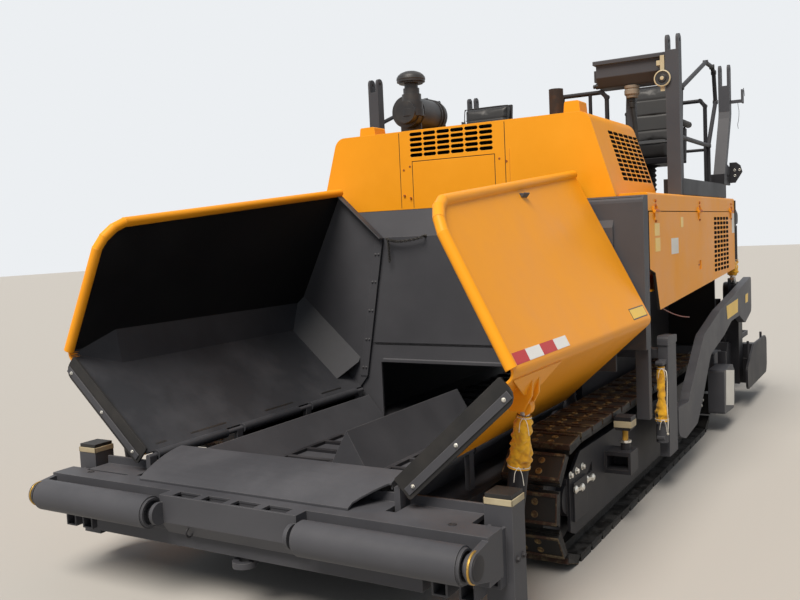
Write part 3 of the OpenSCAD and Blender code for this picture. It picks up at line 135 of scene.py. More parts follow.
# Painted steel plate: bodywork, beams and frame, spray-painted after welding.
# The eye sees a soft gloss with fine orange peel, rounded edges rubbed thin, and road dust on what lies flat.
def painted_steel(name, paint, dust="#84848a", dusty=0.35, rough=0.5, coat=0.04, rusty=0.25, edge="#6d6a66",
                  edge_wear=0.5, shine=0.22):
    made, tree = fresh(name)
    here = add(tree, "ShaderNodeTexCoord").outputs["Object"]
    # Clouds of fading and dust half a metre across, specks of 18 mm and peel of 7 mm, coarse enough to show
    cloud_size, speck_size, peel_size, edge_r = 0.55, 0.018, 0.007, 0.004
    cloud = add(tree, "ShaderNodeTexNoise", [(here, "Vector")], in_Scale=1 / cloud_size, in_Detail=6,
                in_Roughness=0.62)
    speck = add(tree, "ShaderNodeTexNoise", [(here, "Vector")], in_Scale=1 / speck_size, in_Detail=5,
                in_Roughness=0.7)
    peel = add(tree, "ShaderNodeTexNoise", [(here, "Vector")], in_Scale=1 / peel_size, in_Detail=2)
    patch = add(tree, "ShaderNodeMapRange", [(cloud.outputs[0], "Value")], in_From_Min=0.42, in_From_Max=0.74,
                in_To_Min=0, in_To_Max=dusty)
    spot = add(tree, "ShaderNodeMapRange", [(speck.outputs[0], "Value")], in_From_Min=0.66, in_From_Max=0.7,
               in_To_Min=0, in_To_Max=rusty)
    face = add(tree, "ShaderNodeNewGeometry")
    up = add(tree, "ShaderNodeSeparateXYZ", [(face.outputs["Normal"], 0)])
    lying = add(tree, "ShaderNodeMapRange", [(up.outputs["Z"], "Value")], in_From_Min=0.2, in_From_Max=1,
                in_To_Min=0.35, in_To_Max=1)
    dusting = add(tree, "ShaderNodeMath", [(patch.outputs[0], 0), (lying.outputs[0], 1)],
                  operation="MULTIPLY")
    # The bend of a 4 mm rounded edge, which also says where the paint is rubbed
    bend = add(tree, "ShaderNodeBevel", in_Radius=edge_r, samples=4)
    turn = add(tree, "ShaderNodeVectorMath", [(bend.outputs[0], 0), (face.outputs["Normal"], 1)],
               operation="DOT_PRODUCT")
    rubbed = add(tree, "ShaderNodeMapRange", [(turn.outputs["Value"], "Value")], in_From_Min=0.985,
                 in_From_Max=0.9, in_To_Min=0, in_To_Max=edge_wear)
    tone = add(tree, "ShaderNodeMix", [(cloud.outputs[0], 0)], data_type="RGBA",
               in_6=tuple(c * 0.86 for c in linear(paint)[:3]) + (1,),
               in_7=tuple(min(1, c * 1.1) for c in linear(paint)[:3]) + (1,))
    dusted = add(tree, "ShaderNodeMix", [(dusting.outputs[0], 0), (tone.outputs[2], 6)], data_type="RGBA",
                 in_7=linear(dust))
    chipped = add(tree, "ShaderNodeMix", [(spot.outputs[0], 0), (dusted.outputs[2], 6)], data_type="RGBA",
                  in_7=linear("#5d4233"))
    edged = add(tree, "ShaderNodeMix", [(rubbed.outputs[0], 0), (chipped.outputs[2], 6)], data_type="RGBA",
                in_7=linear(edge))
    dull = add(tree, "ShaderNodeMapRange", [(cloud.outputs[0], "Value")], in_From_Min=0.3, in_From_Max=0.8,
               in_To_Min=rough - 0.06, in_To_Max=rough + 0.22)
    bump = add(tree, "ShaderNodeBump", [(peel.outputs[0], "Height"), (bend.outputs[0], "Normal")],
               in_Strength=0.18, in_Distance=0.0008)
    shade = add(tree, "ShaderNodeBsdfPrincipled",
                [(edged.outputs[2], "Base Color"), (dull.outputs[0], "Roughness"),
                 (bump.outputs[0], "Normal")],
                in_Coat_Weight=coat, in_Coat_Roughness=0.3, in_Specular_IOR_Level=shine)
    add(tree, "ShaderNodeOutputMaterial", [(shade.outputs[0], "Surface")])
    return made


yellow = painted_steel("yellow_gloss_enamel", "#fba21a", dust="#e0b070", dusty=0.10, rough=0.42, coat=0.06,
                       rusty=0.0, edge="#ffc56a", edge_wear=0.35)
grey = painted_steel("grey_satin_enamel", "#45464b", dusty=0.18, edge="#7a7a7c")
dark = painted_steel("black_chassis_paint", "#232327", dusty=0.22, edge="#5a5654")


# Bare and rusted steel: worn track shoes, rods, augers, exhaust.
# Ground steel shines where it is rubbed, the rest keeps brown rust and asphalt crust.
def bare_steel(name, metal, crust, crusted=0.5, rough=0.35, grain_mm=9):
    made, tree = fresh(name)
    here = add(tree, "ShaderNodeTexCoord").outputs["Object"]
    patch = add(tree, "ShaderNodeTexNoise", [(here, "Vector")], in_Scale=1000 / (grain_mm * 9), in_Detail=7,
                in_Roughness=0.68)
    worn = add(tree, "ShaderNodeMapRange", [(patch.outputs[0], "Value")], in_From_Min=0.62 - crusted * 0.3,
               in_From_Max=0.74 - crusted * 0.3)
    tone = add(tree, "ShaderNodeMix", [(worn.outputs[0], 0)], data_type="RGBA", in_6=linear(metal),
               in_7=linear(crust))
    dull = add(tree, "ShaderNodeMapRange", [(worn.outputs[0], "Value")], in_To_Min=rough, in_To_Max=0.85)
    shine = add(tree, "ShaderNodeMapRange", [(worn.outputs[0], "Value")], in_To_Min=0.9, in_To_Max=0.05)
    grit = add(tree, "ShaderNodeTexNoise", [(here, "Vector")], in_Scale=1000 / grain_mm, in_Detail=4)
    bend = add(tree, "ShaderNodeBevel", in_Radius=0.003, samples=4)
    bump = add(tree, "ShaderNodeBump", [(grit.outputs[0], "Height"), (bend.outputs[0], "Normal")],
               in_Strength=0.35, in_Distance=0.002)
    shade = add(tree, "ShaderNodeBsdfPrincipled",
                [(tone.outputs[2], "Base Color"), (dull.outputs[0], "Roughness"),
                 (shine.outputs[0], "Metallic"), (bump.outputs[0], "Normal")])
    add(tree, "ShaderNodeOutputMaterial", [(shade.outputs[0], "Surface")])
    return made


rod_steel = bare_steel("ground_rod_steel", "#c9c9c6", "#8a8884", crusted=0.15, rough=0.22)
bolt_zinc = bare_steel("zinc_plated_bolt_steel", "#d8d6cf", "#9b9484", crusted=0.3, rough=0.35, grain_mm=4)
auger_steel = bare_steel("worn_auger_steel", "#7b7771", "#241f1b", crusted=0.7)
rusted = bare_steel("rusted_exhaust_steel", "#4a3a30", "#2a201b", crusted=0.6, rough=0.6)
iron = bare_steel("cast_engine_iron", "#55544f", "#2c2a26", crusted=0.6, rough=0.6)
brass = bare_steel("turned_brass", "#c09a4e", "#7d6430", crusted=0.3, rough=0.3, grain_mm=4)


# Moulded rubber and plastic: flaps, pads, covers, knobs.
# The surface is matt with a fine pebble and patches of grey road dust.
def moulded(name, colour, rough=0.7, pebble_mm=1.5, dust="#77706a", dusty=0.3):
    made, tree = fresh(name)
    here = add(tree, "ShaderNodeTexCoord").outputs["Object"]
    cloud = add(tree, "ShaderNodeTexNoise", [(here, "Vector")], in_Scale=1 / 0.2, in_Detail=6)
    patch = add(tree, "ShaderNodeMapRange", [(cloud.outputs[0], "Value")], in_From_Min=0.45, in_From_Max=0.75,
                in_To_Min=0, in_To_Max=dusty)
    tone = add(tree, "ShaderNodeMix", [(patch.outputs[0], 0)], data_type="RGBA", in_6=linear(colour),
               in_7=linear(dust))
    pebble = add(tree, "ShaderNodeTexNoise", [(here, "Vector")], in_Scale=1000 / (pebble_mm * 3), in_Detail=2)
    bend = add(tree, "ShaderNodeBevel", in_Radius=0.003, samples=4)
    bump = add(tree, "ShaderNodeBump", [(pebble.outputs[0], "Height"), (bend.outputs[0], "Normal")],
               in_Strength=0.3, in_Distance=0.001)
    shade = add(tree, "ShaderNodeBsdfPrincipled",
                [(tone.outputs[2], "Base Color"), (bump.outputs[0], "Normal")], in_Roughness=rough)
    add(tree, "ShaderNodeOutputMaterial", [(shade.outputs[0], "Surface")])
    return made


rubber = moulded("black_moulded_rubber", "#0f0f10", rough=0.65, dusty=0.12)
plastic = moulded("black_moulded_abs", "#1b1b1d", rough=0.45, pebble_mm=1.0, dusty=0.2)
cream = moulded("cream_weathered_rubber", "#b7ad90", rough=0.8, dust="#6d4a34", dusty=0.6)
red_plastic = moulded("red_moulded_cap", "#b3221c", rough=0.45, dusty=0.1)


# Finish of each CAD node: the first name that fits gives it.
# Every node keeps its own shape and only takes the paint, steel or rubber that it is made of.
finishes = (
    ("wing_flap", rubber), ("wing_boot", rubber), ("wing_barrel", dark), ("wing_rod", rod_steel),
    ("wing", yellow), ("hood", yellow), ("cabinet", yellow), ("engine_door", yellow), ("track_frame", dark),
    ("track", rubber), ("auger_drive", grey), ("auger", auger_steel), ("air_filter", plastic),
    ("console", grey), ("seat", rubber), ("exhaust", rusted), ("engine_block", iron),
    ("lift_barrel", dark), ("lift_rod", rod_steel),
    ("main_frame", dark), ("slat", dark), ("deck", dark), ("hand_rails", dark), ("screed_walkway", grey),
    ("screed", dark), ("extension", dark), ("", grey))
for name, node in nodes.items():
    node.data.materials.clear()
    node.data.materials.append(next(finish for start, finish in finishes if name.startswith(start)))


# Hopper wings: one bent plate each, yellow outside and on the tube round its rim.
# The faces where the mix lies are black, and the plate at the rear is grey. The inner walls are darker still:
# painted shade, since they lean over and get no light.
lining = painted_steel("black_hopper_lining", "#34363b", dusty=0.25, edge="#6a6a6c")
# The walls' lining is the floor's black paint made nearly black: painted shade
painted_shade_wall_lining = painted_steel("black_hopper_wall_painted_shade", "#0b0b0d", dusty=0.04, coat=0.02, edge="#3a3a3c",
                            edge_wear=0.2)
sides = ((1, "left"), (-1, "right"))
front = 3.3295                       # the push beam's front face stands this far ahead of the origin
hinge, floor_long = Vector((0.783, 0.650)), 0.800
floor_turn, wall_turn = math.radians(42.4), math.radians(27)
plate_half, hinge_tube_r = 0.006, 0.045
rim_tube_r, rim_rear, rim_foot, rear_plate_y = 0.0295, 0.226, 0.56, 2.26
floor_way = Vector((math.cos(floor_turn), math.sin(floor_turn)))
floor_up = Vector((-floor_way.y, floor_way.x))
wall_way = Vector((-math.sin(wall_turn), math.cos(wall_turn)))
wall_out = Vector((math.cos(wall_turn), math.sin(wall_turn)))
fold = hinge + floor_long * floor_way
for side, word in sides:
    mesh = nodes["wing_" + word].data
    for finish in (lining, painted_shade_wall_lining, grey):
        mesh.materials.append(finish)
    for face in mesh.polygons:
        spot = Vector((face.center.x * side, face.center.z)) - fold
        way = Vector((face.normal.x * side, face.normal.z))
        back = face.center.y + front
        in_wall, up_wall, over_floor = -spot.dot(wall_out), spot.dot(wall_way), spot.dot(floor_up)
        lines_wall = abs(in_wall - plate_half) < 0.001 and way.dot(wall_out) < -0.999
        on_rim = abs(in_wall) < rim_tube_r and not lines_wall and (back < rim_rear or up_wall > rim_foot)
        if min(in_wall, over_floor) > plate_half / 2 and not on_rim:
            on_rear_plate = back > rear_plate_y and abs(face.normal.y) > 0.9
            # Inner wall faces take the painted shade, the floors the lining, the rear plate grey
            face.material_index = 2 if lines_wall else 3 if on_rear_plate else 1
        # The hinge tube at the floor's edge is black all round
        if (spot + fold - hinge).length < hinge_tube_r:
            face.material_index = 1


# Hood, doors and post beams inside: the sheet's inner faces are near-black, painted shade for the dark
# inside. So the grilles look into the dark, and the deck's side beam is black as the deck is.
# Near-black for the sheet's inner faces: painted shade
painted_shade_inner_sheet = moulded("inner_sheet_painted_shade", "#0c0b0b", rough=0.8, pebble_mm=1.0, dusty=0.1)
sheet_thick, door_inside = 0.0024, 1.3278
half_foot, half_top, hood_foot, hood_head = 1.144, 0.974, 1.970, 2.530
hood_front, hood_rear, hood_rake = 2.420, 3.464, 0.049
cup_front, cup_rear, cup_foot, cup_head = 3.89, 4.02, 1.41, 1.50
deck_beam_front, deck_beam_top = 3.4, 2.225
sheet = nodes["hood"].data
sheet.materials.append(painted_shade_inner_sheet)
for face in sheet.polygons:
    spot = face.center
    rise = (spot.z - hood_foot) / (hood_head - hood_foot)
    half = half_foot - rise * (half_foot - half_top)
    back = spot.y + front
    depth = min(half - abs(spot.x), hood_head - spot.z, back - hood_front,
                hood_rear - hood_rake * rise - back)
    outward = face.normal.z > 0.05 and face.normal.x * spot.x > 0
    if depth > sheet_thick and not outward:
        face.material_index = 1
for side, word in sides:
    sheet = nodes["engine_door_" + word].data
    sheet.materials.append(painted_shade_inner_sheet)
    for face in sheet.polygons:
        back = face.center.y + front
        in_cup = cup_front < back < cup_rear and cup_foot < face.center.z < cup_head
        # Inner faces take the painted shade, all but the latch's cup
        if abs(face.center.x) < door_inside and not in_cup:
            face.material_index = 1
    sheet = nodes["posts_" + word].data
    sheet.materials.append(dark)
    for face in sheet.polygons:
        if face.center.z < deck_beam_top and face.center.y + front > deck_beam_front:
            face.material_index = 1


# Push beam: rubber-topped corner posts, brass seal rings at the rollers' outer ends, lashing pins.
# The steel is a welded box, and the small parts are bolted or pressed on.
def slab(bm, outline, thick, index=0):
    """Adds a plate: outline is its corners in order, thick the way and depth through it."""
    near = [bm.verts.new(p) for p in outline]
    far = [bm.verts.new(Vector(p) + Vector(thick)) for p in outline]
    walls = [(near[i - 1], near[i], far[i], far[i - 1]) for i in range(len(near))]
    for corners in [near[::-1], far] + walls:
        bm.faces.new(corners).material_index = index


def block(bm, corner, opposite, index=0):
    """Adds a box from one corner to the opposite one."""
    (x, x_far), (y, y_far), (z, z_far) = (sorted(pair) for pair in zip(corner, opposite))
    slab(bm, [(x, y, z), (x_far, y, z), (x_far, y_far, z), (x, y_far, z)], (0, 0, z_far - z), index)


def turned(bm, spot, way, profile, facets=16, index=0):
    """Adds a turned form: profile is (radius, height) pairs from spot along way, closed where they meet."""
    way = Vector(way).normalized()
    across = way.orthogonal().normalized()
    other = way.cross(across)
    rings = []
    for radius, height in profile:
        if rings and radius and (radius, height) == tuple(profile[0]):
            rings.append(rings[0])
            continue
        middle = Vector(spot) + way * height
        turns = [2 * math.pi * i / facets for i in range(facets if radius else 1)]
        rings.append([bm.verts.new(middle + radius * (math.cos(a) * across + math.sin(a) * other))
                      for a in turns])
    for low, high in zip(rings, rings[1:]):
        for i in range(facets):
            j = (i + 1) % facets
            corners = (low[i % len(low)], low[j % len(low)], high[j % len(high)], high[i % len(high)])
            bm.faces.new(list(dict.fromkeys(corners))).material_index = index


def round_ring(radius, wire):
    """The profile of a ring bent from round wire."""
    turns = [math.pi * i / 4 for i in range(8)] + [0]
    return [(radius + wire * math.cos(a), wire * math.sin(a)) for a in turns]


def bolt(bm, spot, way, across=0.019, index=0):
    """Adds a hexagon bolt head with its washer; across is the head's width over its flats."""
    turned(bm, spot, way, [(0, -0.001), (across * 0.78, -0.001), (across * 0.78, 0.002), (0, 0.002)], 16,
           index)
    turned(bm, spot, way, [(0, 0.001), (across * 0.57, 0.001), (across * 0.57, across * 0.5),
                           (across * 0.5, across * 0.62), (0, across * 0.62)], 6, index)


def from_mesh_work(name, bm):
    """Turns mesh work, given back from the push beam's front face, into an object in the frame."""
    bmesh.ops.translate(bm, verts=bm.verts, vec=(0, -front, 0))
    bmesh.ops.recalc_face_normals(bm, faces=bm.faces)
    mesh = bpy.data.meshes.new(name)
    bm.to_mesh(mesh)
    bm.free()
    piece = bpy.data.objects.new(name, mesh)
    bpy.context.scene.collection.objects.link(piece)
    return piece


def finished(name, bm, finish, body="root", round_edge=0.0, smooth=35):
    """Makes a piece with its finish, on its body when one is given."""
    piece = from_mesh_work(name, bm)
    for one in finish if isinstance(finish, (list, tuple)) else [finish]:
        piece.data.materials.append(one)
    piece.data.shade_smooth()
    piece.data.set_sharp_from_angle(angle=math.radians(smooth))
    if round_edge:
        soften = piece.modifiers.new("rounded_edges", "BEVEL")
        soften.width, soften.segments, soften.limit_method = round_edge, 2, "ANGLE"
    if body:
        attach(piece, body)
    return piece


beam = nodes["front_beam"].data
beam.materials.append(rubber)
post_in, post_out, post_front, post_rear, rubber_foot = 1.206, 1.340, 0.198, 0.332, 0.6585
band, band_foot, band_head = 0.0055, 0.634, 0.662
roller_y, roller_z = -0.101, 0.477
for face in beam.polygons:
    if abs(face.center.x) > post_in and face.center.z > rubber_foot:
        face.material_index = 1
bands, rings, pins = bmesh.new(), bmesh.new(), bmesh.new()
for side, _ in sides:
    # Four cream strips round the post's head, under its rubber top
    for x, x_far, y, y_far in ((post_in, post_out, post_front, post_front + band),
                               (post_in, post_out, post_rear - band, post_rear),
                               (post_in, post_in + band, post_front, post_rear),
                               (post_out - band, post_out, post_front, post_rear)):
        block(bands, (side * x, y, band_foot), (side * x_far, y_far, band_head))
    turned(rings, (side * 1.304, roller_y, roller_z), (side, 0, 0),
           [(0.061, -0.006), (0.0665, -0.004), (0.0665, 0.004), (0.061, 0.006), (0.061, -0.006)], 40)
    # The roller's end cap, a plug in the beam's top, and two bolts on the post's outer face
    turned(pins, (side * 1.319, roller_y, roller_z), (side, 0, 0),
           [(0, -0.001), (0.052, -0.001), (0.052, 0.003), (0.03, 0.006), (0, 0.006)], 32)
    turned(pins, (side * 1.115, 0.086, 0.566), (0, 0, 1),
           [(0, -0.001), (0.019, -0.001), (0.019, 0.003), (0.012, 0.004), (0.012, 0.0005), (0, 0.0005)], 20)
    for y in (0.235, 0.295):
        bolt(pins, (side * 1.338, y, 0.40), (side, 0, 0), 0.022)
# A lashing ring under the beam
turned(pins, (-0.251, -0.062, 0.392), (1, 0, 0), round_ring(0.022, 0.005), 24)
finished("corner_post_bands", bands, cream, round_edge=0.002)
finished("roller_seal_rings", rings, brass)
finished("beam_pins_and_bolts", pins, dark, round_edge=0.0008)


# Track shoes: a black rubber pad bolted in a steel shoe by two pairs of round-headed bolts.
# The shoe's edges stand up round the pad as ribs, worn to rust and cream dust.
rib_rust = bare_steel("rusty_shoe_rib_steel", "#6f6450", "#38241a", crusted=0.75, rough=0.6, grain_mm=6)
chain_steel = bare_steel("oiled_track_chain_steel", "#2b2a29", "#141211", crusted=0.6, rough=0.55)
shoe_bolt = bare_steel("worn_shoe_bolt_steel", "#8d7a55", "#54412d", crusted=0.5, rough=0.5, grain_mm=5)
pad_rubber = moulded("black_shoe_pad_rubber", "#111111", rough=0.65, dust="#3a2a20", dusty=0.35)
shoe_count, track_r, run_from, run_to, middle = 43, 0.2755, 1.290, 4.430, 0.340
run = run_to - run_from
loop = 2 * run + 2 * math.pi * track_r
shoe_in, shoe_out, shoe_top, chain_reach = 0.921, 1.239, 0.0405, 0.3165
rib_in, rib_rear, rib_wide, rib_top = 0.014, 0.029, 0.016, 0.0725
border_in, border_wide, border_top = 0.028, 0.008, 0.0690
head_x, head_off, head_seat, lies_flat = (1.12, 1.03), 0.032, 0.0642, 0.97
shoe_head = ((0, 0), (0.019, 0), (0.018, 0.004), (0.012, 0.005), (0.011, 0.002), (0, 0.002))


def loop_pin(s):
    """The pin at length s round the track's loop, as distance back and height."""
    if s < run:
        return Vector((run_from + s, middle - track_r))
    if s < run + math.pi * track_r:
        a = (s - run) / track_r
        return Vector((run_to + track_r * math.sin(a), middle - track_r * math.cos(a)))
    if s < 2 * run + math.pi * track_r:
        return Vector((run_to - (s - run - math.pi * track_r), middle + track_r))
    a = (s - 2 * run - math.pi * track_r) / track_r
    return Vector((run_from - track_r * math.sin(a), middle + track_r * math.cos(a)))


def dress_shoe(ribs, heads, side, pin, next_pin):
    """Adds one shoe's ribs and bolt heads, between two pins of its chain."""
    along = (next_pin - pin).normalized()
    out = Vector((along.y, -along.x))
    link = (next_pin - pin).length

    def spot(x, on, over):
        p = pin + along * on + out * over
        return Vector((side * x, p.x, p.y))

    # Ribs at the pad's front and rear edges, and thin borders at its two ends
    for on in (rib_in, link - rib_rear):
        slab(ribs, [spot(shoe_in, on, shoe_top), spot(shoe_out, on, shoe_top), spot(shoe_out, on, rib_top),
                    spot(shoe_in, on, rib_top)], spot(1, on + rib_wide, 0) - spot(1, on, 0))
    for x in (shoe_in, shoe_out - border_wide):
        slab(ribs, [spot(x, border_in, shoe_top), spot(x + border_wide, border_in, shoe_top),
                    spot(x + border_wide, border_in, border_top), spot(x, border_in, border_top)],
             spot(x, link - border_in, 0) - spot(x, border_in, 0))
    for x in head_x:
        for off in (-head_off, head_off):
            turned(heads, spot(x, link / 2 + off, head_seat), spot(1, 0, 1) - spot(1, 0, 0), shoe_head, 14)


for side, word in sides:
    ribs, heads = bmesh.new(), bmesh.new()
    for i in range(shoe_count):
        pin, next_pin = (loop_pin(k % shoe_count * loop / shoe_count) for k in (i, i + 1))
        # The shoes of the lower run lie flat on the ground and stay as they are
        if (next_pin - pin).normalized().x <= lies_flat:
            dress_shoe(ribs, heads, side, pin, next_pin)
    finished("track_ribs_" + word, ribs, rib_rust, round_edge=0.003)
    finished("track_bolts_" + word, heads, shoe_bolt)
    shoes = nodes["track_" + word].data
    shoes.materials[0] = pad_rubber
    shoes.materials.append(chain_steel)
    for face in shoes.polygons:
        back = face.center.y + front
        reach = math.hypot(back - min(max(back, run_from), run_to), face.center.z - middle)
        face.material_index = 1 if reach < chain_reach else 0


# Track frame: side plate with three zinc bolts and two pairs of pins on straps, and the side prop.
# The prop's rod is painted yellow under a clamp ring, its pad is faced with cream rubber.
prop_yellow = painted_steel("yellow_prop_paint", "#c99a3c", dust="#8f7a50", dusty=0.5)
pin_off, drive_bolts, drive_bolt_r = 0.052, 10, 0.105
prop_x, prop_y, pad_half, pad_foot, pad_head, facing = 1.300, 1.960, 0.052, 0.602, 0.640, 0.004


def mirrored(side, points):
    """Points given for the left side, on the side that is asked for."""
    return [Vector((side * x, y, z)) for x, y, z in points]


for side, word in sides:
    bolts, prop = bmesh.new(), bmesh.new()
    for y in (1.296, 1.391, 1.490):
        bolt(bolts, (side * 1.1945, y, 0.468), (side, 0, 0), 0.026)
    for x, y, z in ((1.194, 1.60, 0.372), (1.210, 1.375, 0.378)):
        for off in (-pin_off, pin_off):
            turned(bolts, (side * x, y + off, z - off * 0.15), (side, 0, 0),
                   [(0, -0.002), (0.022, -0.002), (0.022, 0.008), (0.012, 0.016), (0, 0.016)], 16)
        slab(bolts, mirrored(side, [(x, y - pin_off, z - 0.004), (x, y + pin_off, z - 0.020),
                                    (x, y + pin_off, z), (x, y - pin_off, z + 0.016)]), (side * 0.009, 0, 0))
    # The final drive's cover is bolted on all round
    for i in range(drive_bolts):
        a = 2 * math.pi * i / drive_bolts
        bolt(bolts, (side * 1.2102, run_to + drive_bolt_r * math.cos(a), middle + drive_bolt_r * math.sin(a)),
             (side, 0, 0), 0.020)
    finished("track_frame_bolts_" + word, bolts, bolt_zinc)
    x, y = side * prop_x, prop_y
    turned(prop, (x, y, 0.503), (0, 0, 1),
           [(0.015, 0), (0.0165, 0), (0.0165, 0.085), (0.015, 0.085), (0.015, 0)], 24)
    turned(prop, (x, y, 0.506), (0, 0, 1),
           [(0.016, 0), (0.034, 0), (0.034, 0.013), (0.016, 0.013), (0.016, 0)], 24, 1)
    for off in (-pad_half, pad_half - facing):
        block(prop, (x - pad_half, y + off, pad_foot), (x + pad_half, y + off + facing, pad_head), 2)
    for off in (-pad_half, pad_half - facing):
        block(prop, (x + off, y - pad_half + facing, pad_foot),
              (x + off + facing, y + pad_half - facing, pad_head), 2)
    finished("side_prop_" + word, prop, [prop_yellow, bolt_zinc, cream],
             round_edge=0.001)


# Wing edges: a steel bar bolts the rubber flap to the floor's front edge.
# Bolt pairs hold the strip on the rear plate, a hook sits under the rim outside, and films are stuck on.
tape_red = moulded("red_reflective_tape", "#c00a10", rough=0.4, pebble_mm=0.8, dusty=0.0)
tape_white = moulded("white_reflective_tape", "#eeeeec", rough=0.25, pebble_mm=0.8, dusty=0.15)
sign_yellow = moulded("yellow_sign_film", "#f2c40f", rough=0.35, pebble_mm=0.6, dusty=0.1)
# Black for the signs' borders, and painted shade for the floors' slots
black_film_and_slot_shade = moulded("black_sign_film_and_slot_shade", "#141414", rough=0.4, pebble_mm=0.6, dusty=0.1)
sign_white = moulded("white_sign_film", "#e4e2da", rough=0.4, pebble_mm=0.6, dusty=0.15)
bar_y, bar_from, bar_to, bar_foot, bar_head = 0.1755, 0.045, 0.735, -0.062, -0.024
strip_x, strip_z, strip_lean = 0.731, 0.757, 0.186 / 1.015
tape_y, tape_long, tape_pitch, tape_foot, tape_head = 0.226, 0.165, 0.166, 0.036, 0.090
sign_front, sign_rear, sign_foot, sign_head = 1.99, 2.29, 0.040, 0.112
hook_front, hook_rear, hook_foot, hook_head, hook_thick = 1.245, 1.315, 0.855, 0.880, 0.006
slot_from, slot_to = 0.060, 0.071


def on_wall(side, back, up, out=0.0):
    """A point on a wing's outer face: back from the beam's face, up from the fold, out from the plate."""
    p = fold + wall_way * up + wall_out * (plate_half + out)
    return Vector((side * p.x, back, p.y))


def wall_patch(side, back, back_far, up, up_far, out=0.0):
    """The four corners of a rectangle on a wing's outer face."""
    corners = ((back, up), (back_far, up), (back_far, up_far), (back, up_far))
    return [on_wall(side, y, h, out) for y, h in corners]


def on_floor(side, back, along, over=0.0):
    """A point on a wing's floor: along it from the hinge, and over its middle plane."""
    p = hinge + floor_way * along + floor_up * over
    return Vector((side * p.x, back, p.y))


for side, word in sides:
    bar, heads, plate_bolts, tape, sign, slots = (bmesh.new() for _ in range(6))
    from_wall = on_wall(side, 0, 0, 1) - on_wall(side, 0, 0)
    slab(bar, [on_floor(side, bar_y, *p) for p in ((bar_from, bar_foot), (bar_to, bar_foot),
                                                   (bar_to, bar_head), (bar_from, bar_head))], (0, 0.006, 0))
    for along in (0.09, 0.39, 0.70):
        bolt(heads, on_floor(side, bar_y + 0.0003, along, (bar_foot + bar_head) / 2), (0, -1, 0), 0.013)
    for up in (0.822, 1.031, 1.245, 1.455, 1.655):
        x = strip_x - (up - strip_z) * strip_lean
        for off in (0.018, 0.044):
            bolt(plate_bolts, (side * (x + off), 2.3138, up), (0, -1, 0), 0.012)
    # Red and white tape in four lengths near the lower front corner
    for i in range(4):
        y = tape_y + i * tape_pitch
        slab(tape, wall_patch(side, y, y + tape_long, tape_foot, tape_head), from_wall * 0.0008, i % 2)
    # Blank yellow sign with a thin black border near the lower rear corner
    for border, thick, index in ((0.0, 0.0006, 1), (0.007, 0.0010, 0)):
        slab(sign, wall_patch(side, sign_front + border, sign_rear - border, sign_foot + border,
                              sign_head - border), from_wall * thick, index)
    # Hook under the rim, bent up from its plate
    slab(bar, wall_patch(side, hook_front, hook_rear, hook_foot, hook_head), from_wall * hook_thick)
    slab(bar, wall_patch(side, hook_front, hook_rear, hook_foot, hook_foot + 0.006, hook_thick),
         on_wall(side, 0, 0.010, 0.022) - on_wall(side, 0, 0))
    # Drain slots along the floor near the hinge, drawn as black films that are painted shade in the openings
    for y, y_far in ((0.30, 0.38), (0.57, 0.87), (1.24, 1.53), (1.86, 2.10)):
        slab(slots, [on_floor(side, *p, plate_half) for p in ((y, slot_from), (y_far, slot_from),
                                                              (y_far, slot_to), (y, slot_to))],
             on_floor(side, 0, 0, 0.0006) - on_floor(side, 0, 0))
    body = "wing_" + word
    finished("flap_bar_" + word, bar, [grey], body, 0.001)
    finished("wing_bolts_" + word, heads, bolt_zinc, body)
    finished("wing_plate_bolts_" + word, plate_bolts, grey, body)
    finished("wing_tape_" + word, tape, [tape_red, tape_white], body)
    finished("wing_sign_" + word, sign, [sign_yellow, black_film_and_slot_shade], body)
    finished("floor_slots_" + word, slots, [black_film_and_slot_shade], body)


# Cloth covers on the cylinders' rods: yellow woven polyester sewn into tubes.
# White laces gather them at both ends, so the cloth bags and creases between.
def woven(name, colour, dark_colour, thread_mm=3.0):
    made, tree = fresh(name)
    here = add(tree, "ShaderNodeTexCoord").outputs["Object"]
    # Threads drawn 3 mm apart, where the real cloth has 1 mm, so that the weave shows at all
    threads = 1000 / thread_mm / 6.28 * 2
    warp = add(tree, "ShaderNodeTexWave", [(here, "Vector")], in_Scale=threads, in_Distortion=0.6,
               bands_direction="Z")
    weft = add(tree, "ShaderNodeTexWave", [(here, "Vector")], in_Scale=threads, in_Distortion=0.6,
               bands_direction="DIAGONAL")
    cloth = add(tree, "ShaderNodeMath", [(warp.outputs[1], 0), (weft.outputs[1], 1)], operation="MAXIMUM")
    soil = add(tree, "ShaderNodeTexNoise", [(here, "Vector")], in_Scale=1 / 0.06, in_Detail=6)
    soiled = add(tree, "ShaderNodeMapRange", [(soil.outputs[0], "Value")], in_From_Min=0.45, in_From_Max=0.75)
    tone = add(tree, "ShaderNodeMix", [(soiled.outputs[0], 0)], data_type="RGBA", in_6=linear(colour),
               in_7=linear(dark_colour))
    bump = add(tree, "ShaderNodeBump", [(cloth.outputs[0], "Height")], in_Strength=0.25, in_Distance=0.0006)
    shade = add(tree, "ShaderNodeBsdfPrincipled",
                [(tone.outputs[2], "Base Color"), (bump.outputs[0], "Normal")], in_Roughness=0.85,
                in_Sheen_Weight=0.25)
    add(tree, "ShaderNodeOutputMaterial", [(shade.outputs[0], "Surface")])
    return made


boot_cloth = woven("yellow_woven_polyester", "#efb523", "#b57a1c")
lace_white = woven("white_braided_lace", "#eeebe2", "#b9b3a4", 2.0)
lace_r, tail_r = 0.0022, 0.0016
tail_knot = ((0, -0.005), (0.004, -0.004), (0.006, 0), (0.004, 0.004), (0, 0.005))
end_knot = ((0, -0.008), (0.006, -0.005), (0.008, 0), (0.006, 0.006), (0, 0.009))
eye_paint_foot, rod_foot, rod_eye = 0.962, (1.175, 0.488, 0.200), (1.290, 0.488, 1.000)
levelling_x, levelling_y, lift_x, lift_y = 1.348, 2.625, 1.290, 5.560


